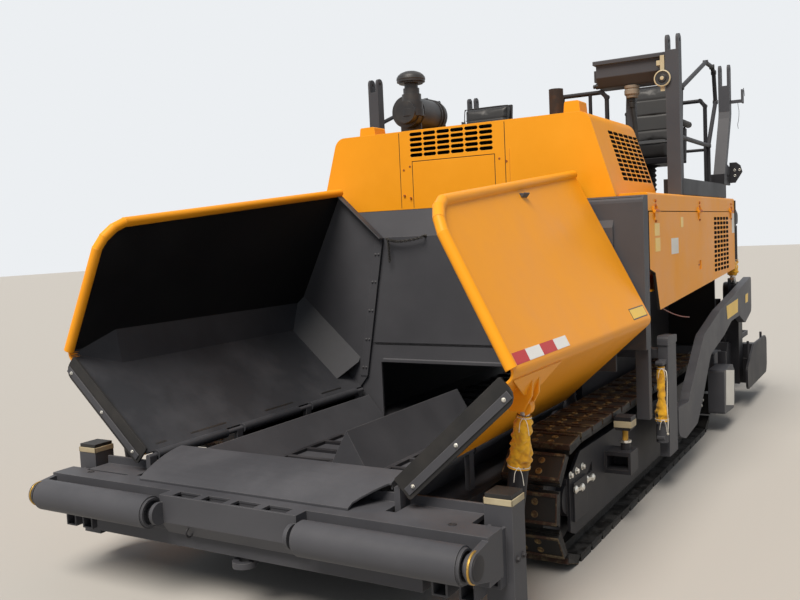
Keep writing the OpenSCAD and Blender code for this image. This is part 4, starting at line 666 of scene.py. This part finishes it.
def tube(bm, line, radius, facets=8, index=0):
    """Adds a round tube along a line of points, closed at both ends."""
    rings, across = [], None
    for i, p in enumerate(line):
        way = (line[min(i + 1, len(line) - 1)] - line[max(i - 1, 0)]).normalized()
        across = (way.orthogonal() if across is None else across - way * across.dot(way)).normalized()
        other = way.cross(across)
        rings.append([bm.verts.new(p + radius * (math.cos(a) * across + math.sin(a) * other))
                      for a in (2 * math.pi * k / facets for k in range(facets))])
    bm.faces.new(rings[0][::-1]).material_index = index
    bm.faces.new(rings[-1]).material_index = index
    for low, high in zip(rings, rings[1:]):
        for k in range(facets):
            bm.faces.new((low[k - 1], low[k], high[k], high[k - 1])).material_index = index


def curve_through(points, steps=6):
    """Points of a smooth line through the given ones."""
    p = [Vector(q) for q in points]
    p = [2 * p[0] - p[1]] + p + [2 * p[-1] - p[-2]]
    line = []
    for a, b, c, d in zip(p, p[1:], p[2:], p[3:]):
        for k in range(steps):
            t = k / steps
            line.append(0.5 * (2 * b + (c - a) * t + (2 * a - 5 * b + 4 * c - d) * t * t
                               + (3 * b - a - 3 * c + d) * t ** 3))
    return line + [p[-2]]


def free_cord(name, points, radius, finish, body):
    """Makes a cord, lace or hose along a smooth line through points, on its body."""
    line = curve_through(points)
    bm = bmesh.new()
    tube(bm, line, radius)
    piece = finished(name, bm, finish, body)


def cloth_cover(name, low, high, tie_low, tie_high, bag, folds, body, upper, seed, node=None):
    """A gathered cloth tube from low to high: its laced radii are tie_low and tie_high, its full ones bag."""
    low, high = Vector(low), Vector(high)
    way = (high - low).normalized()
    long = (high - low).length
    across = way.orthogonal().normalized()
    other = way.cross(across)
    bm, rows, around, gathered = bmesh.new(), 72, 60, 0.14
    rings = []
    for i in range(rows + 1):
        t = i / rows
        ends = (t / gathered, (1 - t) / gathered)
        ring = []
        for k in range(around):
            a = 2 * math.pi * k / around
            rough = noise.noise(Vector((math.cos(a) * 1.6 + seed, math.sin(a) * 1.6, t * long * 26)))
            fine = noise.noise(Vector((math.cos(a) * 3.1, math.sin(a) * 3.1 + seed, t * long * 62)))
            crease = math.sin(2 * math.pi * (folds * t + 0.30 * math.sin(a + seed) + 0.55 * rough))
            wide = bag[1] + (bag[0] - bag[1]) * math.exp(-(max(0, t - 0.1) / 0.2) ** 2)
            full = wide * (1 + 0.07 * crease + 0.22 * rough + 0.13 * fine
                           + 0.10 * math.sin(a * 2 + 5 * t + seed))
            near, tie = (ends[0], tie_low) if ends[0] < ends[1] else (ends[1], tie_high)
            if near < 1:
                ease = near * near * (3 - 2 * near)
                gathers = 0.0022 * math.sin(15 * a + seed) * (1 - ease) * (0.3 + near)
                frill = tie * (1 + 0.12 * max(0, 0.25 - near) * 4)
                full = frill * (1 - ease) + full * ease + gathers
            outward = math.cos(a) * across + math.sin(a) * other
            ring.append(bm.verts.new(low + way * (t * long) + full * outward))
        rings.append(ring)
    for first, second in zip(rings, rings[1:]):
        for k in range(around):
            bm.faces.new((first[k - 1], first[k], second[k], second[k - 1]))
    area = sum(face.calc_area() for face in bm.faces)
    piece = finished(name, bm, boot_cloth, None if upper else body, smooth=180)
    if upper:
        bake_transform(piece)
    if node:
        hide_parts(node)
    # A lace round each end, its knot in front and its two tails hanging down
    for end, t, tie, ride_on in (("low", 0.035, tie_low, body), ("high", 0.965, tie_high, upper or body)):
        lace, spot = bmesh.new(), low + way * (t * long)
        turned(lace, spot, way, round_ring(tie + 0.0035, lace_r), 28)
        facing = Vector((0.35 if spot.x > 0 else -0.35, -0.94, 0)).normalized()
        aside = Vector((0, 0, 1)).cross(facing)
        knot = spot + facing * (tie + 0.006)
        turned(lace, knot, way, tail_knot, 10)
        finished(f"{name}_lace_{end}", lace, lace_white, ride_on)
        for tail, turn, reach in (("a", 1, 0.075), ("b", -1, 0.060)):
            free_cord(f"{name}_tail_{end}_{tail}",
                      [knot, knot + facing * 0.012 + aside * 0.006 * turn,
                       knot + facing * 0.018 + aside * 0.016 * turn - Vector((0, 0, 0.3 * reach)),
                       knot + facing * 0.010 + aside * 0.022 * turn - Vector((0, 0, reach))],
                      tail_r, lace_white, ride_on)


for side, word in sides:
    # The wing rod's eye is painted with the bracket that holds it
    rod = nodes["wing_rod_" + word].data
    rod.materials.append(yellow)
    for face in rod.polygons:
        if face.center.z > eye_paint_foot:
            face.material_index = 1
    foot, eye = mirrored(side, (rod_foot, rod_eye))
    way = (eye - foot).normalized()
    cloth_cover("wing_cover_" + word, foot + way * 0.528, foot + way * 0.770, 0.0465, 0.030, (0.050, 0.043),
                5.5, "wing_barrel_" + word, "wing_rod_" + word, 1.7 * side, "wing_boot_" + word)
    cloth_cover("levelling_cover_" + word, (side * levelling_x, levelling_y, 0.50),
                (side * levelling_x, levelling_y, 0.86), 0.0395, 0.021, (0.042, 0.024), 6.5, "root", None,
                4.1 * side)
    cloth_cover("lift_cover_" + word, (side * lift_x, lift_y, 1.268), (side * lift_x, lift_y, 1.425), 0.027,
                0.047, (0.040, 0.048), 3.5, "lift_rod_" + word, "lift_barrel_" + word, 2.9 * side)
    # A knotted cord hangs in front of the levelling cylinder
    free_cord("levelling_cord_" + word,
              mirrored(side, [(1.372, 2.600, 0.842), (1.392, 2.586, 0.830), (1.397, 2.583, 0.76),
                              (1.393, 2.585, 0.62), (1.398, 2.580, 0.50), (1.394, 2.583, 0.43)]),
              0.0028, lace_white, "root")
    knot = bmesh.new()
    turned(knot, (side * 1.394, 2.583, 0.424), (0, 0, 1), end_knot, 12)
    finished("levelling_cord_knot_" + word, knot, lace_white)


# Hopper chain: blackened links of 6 mm wire, hung from an eye bolt in the hopper's rear wall.
# It runs towards the right wing's rear plate, where a short end hangs down.
chain_link = bare_steel("blackened_chain_steel", "#4a4844", "#1d1b19", crusted=0.5, rough=0.5, grain_mm=4)
chain_y, link_wire, link_half = 2.299, 0.0030, 0.0085
hang = [(-0.506, 1.765), (-0.455, 1.750), (-0.400, 1.742), (-0.30, 1.750), (-0.203, 1.768)]
drop = [(-0.488, 1.757), (-0.484, 1.69), (-0.481, 1.60)]
links = bmesh.new()
turned(links, (-0.203, 2.3405, 1.775), (0, -1, 0),
       [(0, -0.002), (0.012, -0.002), (0.012, 0.004), (0.006, 0.006), (0.006, 0.046), (0, 0.046)], 16)
for line in (curve_through([(x, chain_y, z) for x, z in hang], 12),
             curve_through([(x, chain_y - link_wire, z) for x, z in drop], 10)):
    for i in range(0, len(line) - 2, 2):
        way = (line[i + 2] - line[i]).normalized()
        # Each link stands across the one before it
        across = (Vector((0, 0.2, 1)) if i % 4 else Vector((0.2, 1, 0))).cross(way).normalized().cross(way)
        centre = (line[i] + line[i + 2]) / 2
        long = (line[i + 2] - line[i]).length * 0.72
        ring = [centre + way * long * math.cos(a) + across * link_half * math.sin(a)
                for a in (2 * math.pi * k / 14 for k in range(15))]
        tube(links, ring, link_wire, 6)
finished("hopper_chain", links, chain_link)


# Hood screws: quarter-turn screws that hold the access panel in the hood's front.
# They are steel, sprayed over with the hood, and rust shows through.
hinge_paint = painted_steel("overpainted_hinge_steel", "#b8611c", dust="#8a5a30", dusty=0.3, rough=0.45,
                            rusty=0.2)
panel_face, panel_rake, panel_z = 2.4195, 0.04, 2.25
screws = bmesh.new()
for side, _ in sides:
    for x, z in ((0.402, 2.253), (0.350, 2.275), (0.402, 2.07), (0.35, 2.05)):
        turned(screws, (side * x, panel_face - (panel_z - z) * panel_rake, z), (0, -1, 0),
               [(0, -0.006), (0.008, -0.006), (0.008, 0.002), (0.004, 0.003), (0.004, 0.001), (0, 0.001)], 14)
finished("hood_screws", screws, hinge_paint)


# Rain cap: a dome pressed in black plastic on the air filter's intake.
# It closes the solid cap with a rounded top.
dome = bmesh.new()
turned(dome, (-0.555, 2.850, 0), (0, 0, 1), [(0, 2.962), (0.104, 2.962), (0.111, 2.970), (0.110, 2.984),
                                            (0.098, 3.004), (0.078, 3.020), (0.048, 3.032), (0, 3.036)], 40)
finished("rain_cap_dome", dome, plastic)


# Rear screens: folded sheet behind the tracks, between the frame and the cabinets' floors, near-black as
# painted shade for the dark space there.
# Each is one plate with a side flange and a foot flange, held by three bolts.
screen_in, screen_out, screen_foot, screen_head = 0.859, 1.262, 0.705, 1.346
screen_face, screen_rear, flange_y, screen_thick = 4.862, 4.868, 4.836, 0.006
for side, word in sides:
    screen = bmesh.new()
    for x, y, z, x_far, y_far, z_far in (
            (screen_in, screen_face, screen_foot, screen_out, screen_rear, screen_head),
            (screen_out - 0.005, flange_y, screen_foot, screen_out + 0.001, screen_face, screen_head),
            (screen_in, flange_y, screen_foot - screen_thick, screen_out, screen_rear, screen_foot)):
        block(screen, (side * x, y, z), (side * x_far, y_far, z_far))
    for x in (0.89, 1.05, 1.21):
        bolt(screen, (side * x, screen_face, 1.30), (0, -1, 0), 0.014)
    # The screen takes the near-black painted shade of the wings' inner walls
    finished("rear_screen_" + word, screen, painted_shade_wall_lining, round_edge=0.001)


# Tunnel lip: a strip of grey plate along the top of the tunnel's mouth.
# Its edges are rounded where it is folded forward.
lip_half, lip_y, lip_foot, lip_head, lip_thick = 0.70, 2.352, 0.985, 1.012, 0.012
lip = bmesh.new()
slab(lip, [(x, lip_y, z) for x, z in ((-lip_half, lip_foot), (lip_half, lip_foot), (lip_half, lip_head),
                                      (-lip_half, lip_head))], (0, -lip_thick, 0))
finished("tunnel_lip", lip, grey, round_edge=0.004)


# Engine doors and cabinets: sheet steel doors hung from three strap hinges painted over.
# Blank film strips and one blank plate are stuck on, and a rotary latch sits in a cup.
sign_lemon = moulded("lemon_sign_film", "#f6c81c", rough=0.3, pebble_mm=0.6, dusty=0.05)
door_face, film_thick, knuckle_r, knuckle_long, knuckle_z = 1.330, 0.0009, 0.012, 0.090, 1.870
latch_y, latch_z = 3.955, 1.455
films_at = ((2.615, 2.745, 1.708, 1.790, 0), (2.625, 2.755, 1.605, 1.695, 0), (3.340, 3.420, 1.754, 1.827, 0),
            (3.053, 3.259, 1.572, 1.682, 1), (5.325, 5.452, 1.675, 1.853, 1))
for side, word in sides:
    films, straps, latch = bmesh.new(), bmesh.new(), bmesh.new()
    outward = (side, 0, 0)
    x = side * (door_face + 0.0004)
    for y, y_far, z, z_far, index in films_at:
        slab(films, [(x, y, z), (x, y_far, z), (x, y_far, z_far), (x, y, z_far)], (side * film_thick, 0, 0),
             index)
    for y in (2.64, 3.96, 5.28):
        for z in (1.905, 1.935, 1.835, 1.805):
            turned(straps, (side * door_face, y + 0.012, z), outward,
                   [(0, -0.002), (0.011, -0.002), (0.011, 0.005), (0.006, 0.009), (0, 0.009)], 14)
        turned(straps, (side * (door_face + 0.010), y - knuckle_long / 2, knuckle_z), (0, 1, 0),
               [(0, 0), (knuckle_r, 0), (knuckle_r, knuckle_long), (0, knuckle_long)], 18)
    finished("door_films_" + word, films, [sign_lemon, sign_white], "engine_door_" + word)
    finished("door_hinges_" + word, straps, hinge_paint, "root", 0.001)
    # The latch's disc lies in its cup with the grip bar across it
    turned(latch, (side * (door_face - 0.012), latch_y, latch_z), outward,
           [(0, -0.004), (0.026, -0.004), (0.026, 0.003), (0.010, 0.004), (0.010, 0.001), (0, 0.001)], 24)
    block(latch, (side * (door_face - 0.010), latch_y - 0.030, latch_z - 0.006),
          (side * (door_face - 0.004), latch_y + 0.030, latch_z + 0.006))
    finished("door_latch_" + word, latch, hinge_paint, "engine_door_" + word, 0.001)


# Tow arms and side boxes: welded box beams with blank yellow films stuck on.
# The side box carries a blank pale film on its outer face.
arm_face, box_face, paper_thick = 1.3822, 1.394, 0.0008
arm_signs = (((4.702, 1.064), (5.279, 1.084), (5.267, 0.957), (4.736, 0.94)),
             ((5.652, 1.091), (5.822, 1.097), (5.812, 1.001), (5.643, 0.997)))
box_film = ((4.586, 0.532), (4.952, 0.475), (4.923, 0.169), (4.558, 0.238))


def bordered_sign(bm, corners, out, border=0.008):
    """Adds a thin sign on a face: a black film with a smaller coloured one over it."""
    centre = sum((Vector(c) for c in corners), Vector()) / len(corners)
    inner = [centre + (Vector(c) - centre) * (1 - border / (Vector(c) - centre).length * 2) for c in corners]
    slab(bm, corners, Vector(out), 1)
    slab(bm, inner, Vector(out) * 1.7, 0)


for side, word in sides:
    signs, film = bmesh.new(), bmesh.new()
    out = (side * paper_thick, 0, 0)
    for corners in arm_signs:
        bordered_sign(signs, [(side * arm_face, y, z) for y, z in corners], out)
    slab(film, [(side * box_face, y, z) for y, z in box_film], out)
    finished("tow_arm_signs_" + word, signs, [sign_yellow, black_film_and_slot_shade], "screed")
    finished("side_box_film_" + word, film, sign_white, "root")


# Operator's console: grey sheet housing with black moulded fittings on its rear face, towards the seats.
# Two levers with ball knobs stand in rubber gaiters, and blank gauges sit in bezels.
glass, tree = fresh("gauge_glass_over_blank_dial")
here = add(tree, "ShaderNodeTexCoord").outputs["Object"]
smear = add(tree, "ShaderNodeTexNoise", [(here, "Vector")], in_Scale=1 / 0.02, in_Detail=3)
tone = add(tree, "ShaderNodeMix", [(smear.outputs[0], 0)], data_type="RGBA", in_6=linear("#20242a"),
           in_7=linear("#3a4048"))
shade = add(tree, "ShaderNodeBsdfPrincipled", [(tone.outputs[2], "Base Color")], in_Roughness=0.12,
            in_Coat_Weight=0.5)
add(tree, "ShaderNodeOutputMaterial", [(shade.outputs[0], "Surface")])
panel_y, gauge_z, rearward = 3.7452, 2.92, (0, 1, 0)
switch_x, switch_z, switch_pitch, switch_row = 1.02, 2.895, 0.042, 0.05
fittings, dials, knobs = bmesh.new(), bmesh.new(), bmesh.new()
for x in (0.78, 0.86, 0.94):
    turned(fittings, (x, panel_y, gauge_z), rearward,
           [(0, -0.002), (0.033, -0.002), (0.033, 0.008), (0.027, 0.011), (0.027, 0.004), (0, 0.004)], 28)
    turned(dials, (x, panel_y + 0.004, gauge_z), rearward,
           [(0, 0), (0.027, 0), (0.0265, 0.0012), (0, 0.0012)], 28)
for i in range(8):
    x, z = switch_x + (i % 4) * switch_pitch, switch_z + (i // 4) * switch_row
    turned(fittings, (x, panel_y, z), rearward, [(0, -0.002), (0.012, -0.002), (0.012, 0.005), (0.005, 0.006),
                                                (0.005, 0.018), (0, 0.020)], 14)
for x, lean in ((0.98, 0.0), (1.10, 0.03)):
    foot = Vector((x, panel_y, 2.862))
    turned(fittings, foot, rearward, [(0, 0), (0.026, 0), (0.022, 0.008), (0.024, 0.012), (0.017, 0.020),
                                     (0.018, 0.024), (0.009, 0.034), (0, 0.034)], 24)
    tube(fittings, curve_through([foot + Vector((0, 0.02, 0)), foot + Vector((lean / 3, 0.08, 0.015)),
                                  foot + Vector((lean, 0.14, 0.035))]), 0.006, 10)
    turned(knobs, foot + Vector((lean, 0.135, 0.033)), (0, 1, 0.15),
           [(0, 0), (0.012, 0.002), (0.020, 0.014), (0.020, 0.026), (0.013, 0.038), (0, 0.042)], 20)
finished("console_fittings", fittings, plastic, round_edge=0.0008)
finished("console_dials", dials, glass)
finished("console_lever_knobs", knobs, red_plastic)


# Horn: black, in a cream ring, in front of the post on a cream strap from the console's end.
# A black knob is screwed to the console's other end.
horn_ring = moulded("cream_aged_horn_ring", "#c9bd9c", rough=0.5, dust="#7d7058", dusty=0.4)
horn_at, forward = (1.203, 3.436, 2.832), (0, -1, 0)
horn = bmesh.new()
turned(horn, horn_at, forward, [(0, -0.004), (0.050, -0.004), (0.054, 0.006), (0.050, 0.014), (0.030, 0.012),
                                (0.026, 0.020), (0, 0.020)], 36)
turned(horn, horn_at, forward,
       [(0.051, 0.004), (0.060, 0.006), (0.060, 0.014), (0.051, 0.017), (0.051, 0.004)], 40, 1)
turned(horn, horn_at, forward, [(0, 0.018), (0.015, 0.018), (0.013, 0.026), (0, 0.027)], 20, 1)
for corner, opposite in (((1.186, 3.438, 2.742), (1.216, 3.4425, 2.998)),
                         ((1.158, 3.4426, 2.930), (1.214, 3.4470, 2.965)),
                         ((1.158, 3.4472, 2.930), (1.163, 3.510, 2.965))):
    block(horn, corner, opposite, 1)
turned(horn, (0.672, 3.600, 2.860), (-1, 0, 0), [(0, -0.020), (0.022, -0.020), (0.022, 0.012), (0.014, 0.020),
                                                 (0.016, 0.034), (0, 0.040)], 16)
finished("console_horn", horn, [plastic, horn_ring], round_edge=0.0006)


# Console loom: a beige connector under the console and a black rubber hose down to the deck.
# A rubber collar joins the two.
loom_beige = moulded("beige_loom_connector", "#8d8172", rough=0.7, dust="#4a4038", dusty=0.5)
loom_x, loom_y, hose_r, down = 0.933, 3.600, 0.0175, (0, 0, -1)
plug, collar = bmesh.new(), bmesh.new()
turned(plug, (loom_x, loom_y, 2.834), down,
       [(0, 0), (0.056, 0), (0.056, 0.022), (0.048, 0.026), (0.056, 0.034), (0.056, 0.066), (0.046, 0.074),
        (0.044, 0.092), (0, 0.092)], 28)
finished("console_connector", plug, loom_beige, round_edge=0.002)
free_cord("console_hose",
          [(loom_x, loom_y, 2.744), (0.934, 3.600, 2.70), (0.938, 3.604, 2.64), (0.945, 3.610, 2.57),
           (0.950, 3.616, 2.48), (0.950, 3.618, 2.36), (0.945, 3.612, 2.22), (0.940, 3.606, 2.08),
           (0.940, 3.604, 1.985)], hose_r, rubber, "root")
turned(collar, (loom_x, loom_y, 2.746), down, [(0.017, 0), (0.025, 0), (0.025, 0.030), (0.020, 0.034),
                                              (0.025, 0.040), (0.022, 0.075), (0.017, 0.078), (0.017, 0)], 24)
finished("console_hose_collar", collar, rubber, round_edge=0.001)


# Operator's seats: steel pan on a bellows pedestal, with foam cushions in black vinyl.
# The covers are sewn with piping at their edges, and rubber armrests are bolted at the sides.
def grained_vinyl():
    made, tree = fresh("black_grained_vinyl")
    here = add(tree, "ShaderNodeTexCoord").outputs["Object"]
    # Grain cells of 4 mm, drawn twice as coarse as the real ones so that they show
    cell = add(tree, "ShaderNodeTexVoronoi", [(here, "Vector")], in_Scale=1 / 0.004)
    wear = add(tree, "ShaderNodeTexNoise", [(here, "Vector")], in_Scale=1 / 0.12, in_Detail=5)
    tone = add(tree, "ShaderNodeMix", [(wear.outputs[0], 0)], data_type="RGBA", in_6=linear("#0d0d0f"),
               in_7=linear("#191818"))
    dull = add(tree, "ShaderNodeMapRange", [(wear.outputs[0], "Value")], in_To_Min=0.38, in_To_Max=0.62)
    bump = add(tree, "ShaderNodeBump", [(cell.outputs["Distance"], "Height")], in_Strength=0.25,
               in_Distance=0.0006)
    shade = add(tree, "ShaderNodeBsdfPrincipled",
                [(tone.outputs[2], "Base Color"), (dull.outputs[0], "Roughness"),
                 (bump.outputs[0], "Normal")], in_Sheen_Weight=0.08)
    add(tree, "ShaderNodeOutputMaterial", [(shade.outputs[0], "Surface")])
    return made


vinyl = grained_vinyl()
seat_x, seat_y, deck = 0.800, 4.500, 1.990
seat_half, cushion_foot, cushion_thick, back_foot, back_head = 0.25, 0.336, 0.142, 0.455, 1.018
bellows, bellows_pitch, pan_half, pan_foot, pan_head = 13, 0.02, 0.24, 0.292, 0.340
arm_in, arm_out, arm_strut, piping_r = 0.266, 0.326, 0.014, 0.0045
foam_share, foam_round, foam_grid, puff_frames, puff_most = 0.955, 0.026, 0.010, 20, 0.018
groove_deep, groove_wide = 0.009, 0.007
rims = {"cushion": ((-0.232, -0.235, 0.462), (0.232, -0.235, 0.462), (0.232, 0.16, 0.462),
                    (-0.232, 0.16, 0.462)),
        "back": ((-0.230, 0.168, 0.490), (0.230, 0.168, 0.490), (0.230, 0.238, 0.992),
                 (-0.230, 0.238, 0.992))}


def seat_spot(side, x, y, z):
    """A point of a seat, given from the middle of its foot."""
    return Vector((side * seat_x + x, seat_y + y, deck + z))


def settled(piece):
    """The mesh of a piece with its modifiers worked in, which are then taken off."""
    mesh = bpy.data.meshes.new_from_object(piece.evaluated_get(bpy.context.evaluated_depsgraph_get()))
    piece.modifiers.clear()
    piece.data = mesh
    return mesh


def puffed(name, corners, thick, channels):
    """A foam cushion: corners are its face in order, thick the way through it, channels its sewn grooves."""
    bm = bmesh.new()
    slab(bm, corners, thick)
    centre = sum((v.co for v in bm.verts), Vector()) / len(bm.verts)
    for v in bm.verts:
        v.co = centre + (v.co - centre) * foam_share
    bmesh.ops.bevel(bm, geom=list(bm.edges), offset=foam_round, segments=3, affect="EDGES", profile=0.5)
    piece = from_mesh_work(name, bm)
    remesh = piece.modifiers.new("voxels", "REMESH")
    remesh.mode, remesh.voxel_size = "VOXEL", foam_grid
    still = settled(piece)
    before = [v.co.copy() for v in still.vertices]
    cloth = piece.modifiers.new("puff", "CLOTH")
    cloth.settings.use_pressure = True
    cloth.settings.uniform_pressure_force = 4
    cloth.settings.effector_weights.gravity = 0
    cloth.settings.quality = 5
    cloth.point_cache.frame_start, cloth.point_cache.frame_end = 1, puff_frames
    for number in range(1, puff_frames + 1):
        bpy.context.scene.frame_set(number)
    puff = settled(piece)
    bpy.context.scene.frame_set(1)
    for v, old in zip(puff.vertices, before):
        move = v.co - old
        if move.length > puff_most:
            v.co = old + move * (puff_most / move.length)
    finer = piece.modifiers.new("finer", "SUBSURF")
    finer.levels = 1
    smooth = settled(piece)
    shift = Vector((0, front, 0))
    for v in smooth.vertices:
        for spot, way in channels:
            off = (v.co - (Vector(spot) - shift)).dot(Vector(way).normalized())
            v.co -= (v.co - (centre - shift)).normalized() * groove_deep * math.exp(-(off / groove_wide) ** 2)
    smooth.materials.append(vinyl)
    smooth.shade_smooth()
    return piece


cushions = {}
for side, word in sides:
    frame_work, arms = bmesh.new(), bmesh.new()
    turned(frame_work, seat_spot(side, 0, 0, 0), (0, 0, 1),
           [(0, 0.0), (0.14, 0.0), (0.14, 0.012), (0.070, 0.016)]
           + [(0.060 + 0.014 * (i % 2), 0.03 + i * bellows_pitch) for i in range(bellows)]
           + [(0.11, pan_foot), (0, pan_foot)], 32, 1)
    block(frame_work, seat_spot(side, -pan_half, -pan_half, pan_foot),
          seat_spot(side, pan_half, pan_half, pan_head))
    slab(frame_work, [seat_spot(side, -0.235, y, z) for y, z in ((0.225, 0.31), (0.262, 0.31), (0.345, 1.0),
                                                                (0.318, 1.005))], (0.47, 0, 0))
    # An armrest on each side, its strut standing on a foot from the pan
    for x, x_far, strut, reach in ((-arm_out, -arm_in, -arm_in - arm_strut, (-arm_in - arm_strut, -pan_half)),
                                   (arm_in, arm_out, arm_in, (pan_half, arm_in + arm_strut))):
        block(arms, seat_spot(side, x, -0.155, 0.604), seat_spot(side, x_far, 0.245, 0.656))
        slab(frame_work, [seat_spot(side, strut, y, z) for y, z in ((0.14, 0.31), (0.20, 0.31), (0.24, 0.60),
                                                                   (0.15, 0.61))], (arm_strut, 0, 0))
        block(frame_work, seat_spot(side, reach[0], 0.14, 0.306), seat_spot(side, reach[1], 0.20, 0.330))
    finished("seat_frame_" + word, frame_work, [dark, rubber], round_edge=0.004)
    finished("seat_armrests_" + word, arms, rubber, round_edge=0.022)
    # The left seat's cushions are puffed up, and the right seat takes copies of them
    if side == 1:
        cushions["cushion"] = puffed(
            "seat_cushion_left", [seat_spot(1, x, y, cushion_foot) for x, y in (
                (-seat_half, -0.26), (seat_half, -0.26), (seat_half, 0.20), (-seat_half, 0.20))],
            (0, 0, cushion_thick), [(seat_spot(1, 0, y, 0), (0, 1, 0)) for y in (-0.13, -0.02, 0.09)])
        cushions["back"] = puffed(
            "seat_back_left", [seat_spot(1, x, y, z) for x, y, z in (
                (-seat_half, 0.165, back_foot), (seat_half, 0.165, back_foot),
                (seat_half, 0.240, back_head), (-seat_half, 0.240, back_head))],
            (0, 0.088, -0.012), [(seat_spot(1, 0, 0.2, z), (0, 0.13, 1)) for z in (0.60, 0.74, 0.88)])
    for kind, piece in cushions.items():
        if side == -1:
            copied = piece.data.copy()
            copied.transform(Matrix.Translation((-2 * seat_x, 0, 0)))
            piece = bpy.data.objects.new(f"seat_{kind}_right", copied)
            bpy.context.scene.collection.objects.link(piece)
        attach(piece, "root")
        if kind == "cushion":
            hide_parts("seat_" + word)
        # Piping sewn round the face's edge, which turns each corner in a short bend
        piping, line = bmesh.new(), []
        rim = [Vector(p) for p in rims[kind]]
        for i, b in enumerate(rim):
            a, c = rim[i - 1], rim[(i + 1) % len(rim)]
            back, on = (a - b).normalized(), (c - b).normalized()
            line += [b + back * 0.04, b + back * 0.012 + on * 0.012, b + on * 0.04]
        tube(piping, curve_through([seat_spot(side, *p) for p in line + line[:1]], 4), piping_r)
        finished(f"seat_{kind}_piping_{word}", piping, vinyl)


# Side wires, rear lugs, post wires and screed bolts, the same on both sides.
# The wires on the posts are rubber, held at one end; the one along the side is red-brown PVC, held at both.
# The lug is a plate with three rings that stands out from the rear post, and the bolts are zinc-plated.
pvc = moulded("red_brown_pvc_wire", "#7a3a2c", rough=0.5, pebble_mm=0.8, dusty=0.4)
lug_y, lug_thick = 5.402, 0.012
lug_outline = ((1.305, 2.13), (1.355, 2.13), (1.416, 2.225), (1.400, 2.285), (1.365, 2.315), (1.305, 2.315))
lug_ring = ((0.006, 0), (0.012, 0), (0.012, 0.003), (0.006, 0.003), (0.006, 0))
end_plate_x, screed_front_y, walkway_z = 1.2405, 5.3995, 0.6102
for side, word in sides:
    free_cord("side_wire_" + word,
              mirrored(side, [(1.3225, 2.791, 1.225), (1.324, 2.95, 1.186), (1.3225, 3.118, 1.152),
                              (1.324, 3.35, 1.112), (1.3225, 3.578, 1.084)]),
              0.004, pvc, "root")
    lug = bmesh.new()
    slab(lug, [(side * x, lug_y, z) for x, z in lug_outline], (0, lug_thick, 0))
    for x, z in ((1.350, 2.245), (1.352, 2.195), (1.392, 2.245)):
        turned(lug, (side * x, lug_y, z), (0, -1, 0), lug_ring, 16, 1)
    finished("rear_lug_" + word, lug, [dark, bolt_zinc], round_edge=0.001)
    free_cord("post_wire_a_" + word,
              mirrored(side, [(1.414, 5.512, 2.960), (1.416, 5.525, 2.985), (1.415, 5.545, 2.99),
                              (1.414, 5.575, 2.965), (1.415, 5.590, 2.925)]),
              0.0022, rubber, "root")
    free_cord("post_wire_b_" + word,
              mirrored(side, [(1.380, 5.446, 2.850), (1.382, 5.440, 2.83), (1.390, 5.436, 2.77),
                              (1.386, 5.434, 2.70), (1.376, 5.440, 2.655), (1.380, 5.446, 2.620)]),
              0.0020, rubber, "root")
    # Bolts in the screed's end plates, its front and its walkway
    bits = bmesh.new()
    for y in (5.46, 5.62, 5.80):
        bolt(bits, (side * end_plate_x, y, 0.36), (side, 0, 0), 0.022)
    for x in (0.25, 0.55, 0.85, 1.12):
        for z in (0.30, 0.44):
            bolt(bits, (side * x, screed_front_y, z), (0, -1, 0), 0.022)
    for y in (6.50, 6.62, 6.74):
        bolt(bits, (side * 1.10, y, walkway_z), (0, 0, 1), 0.016)
    finished("screed_bolts_" + word, bits, bolt_zinc, "screed")
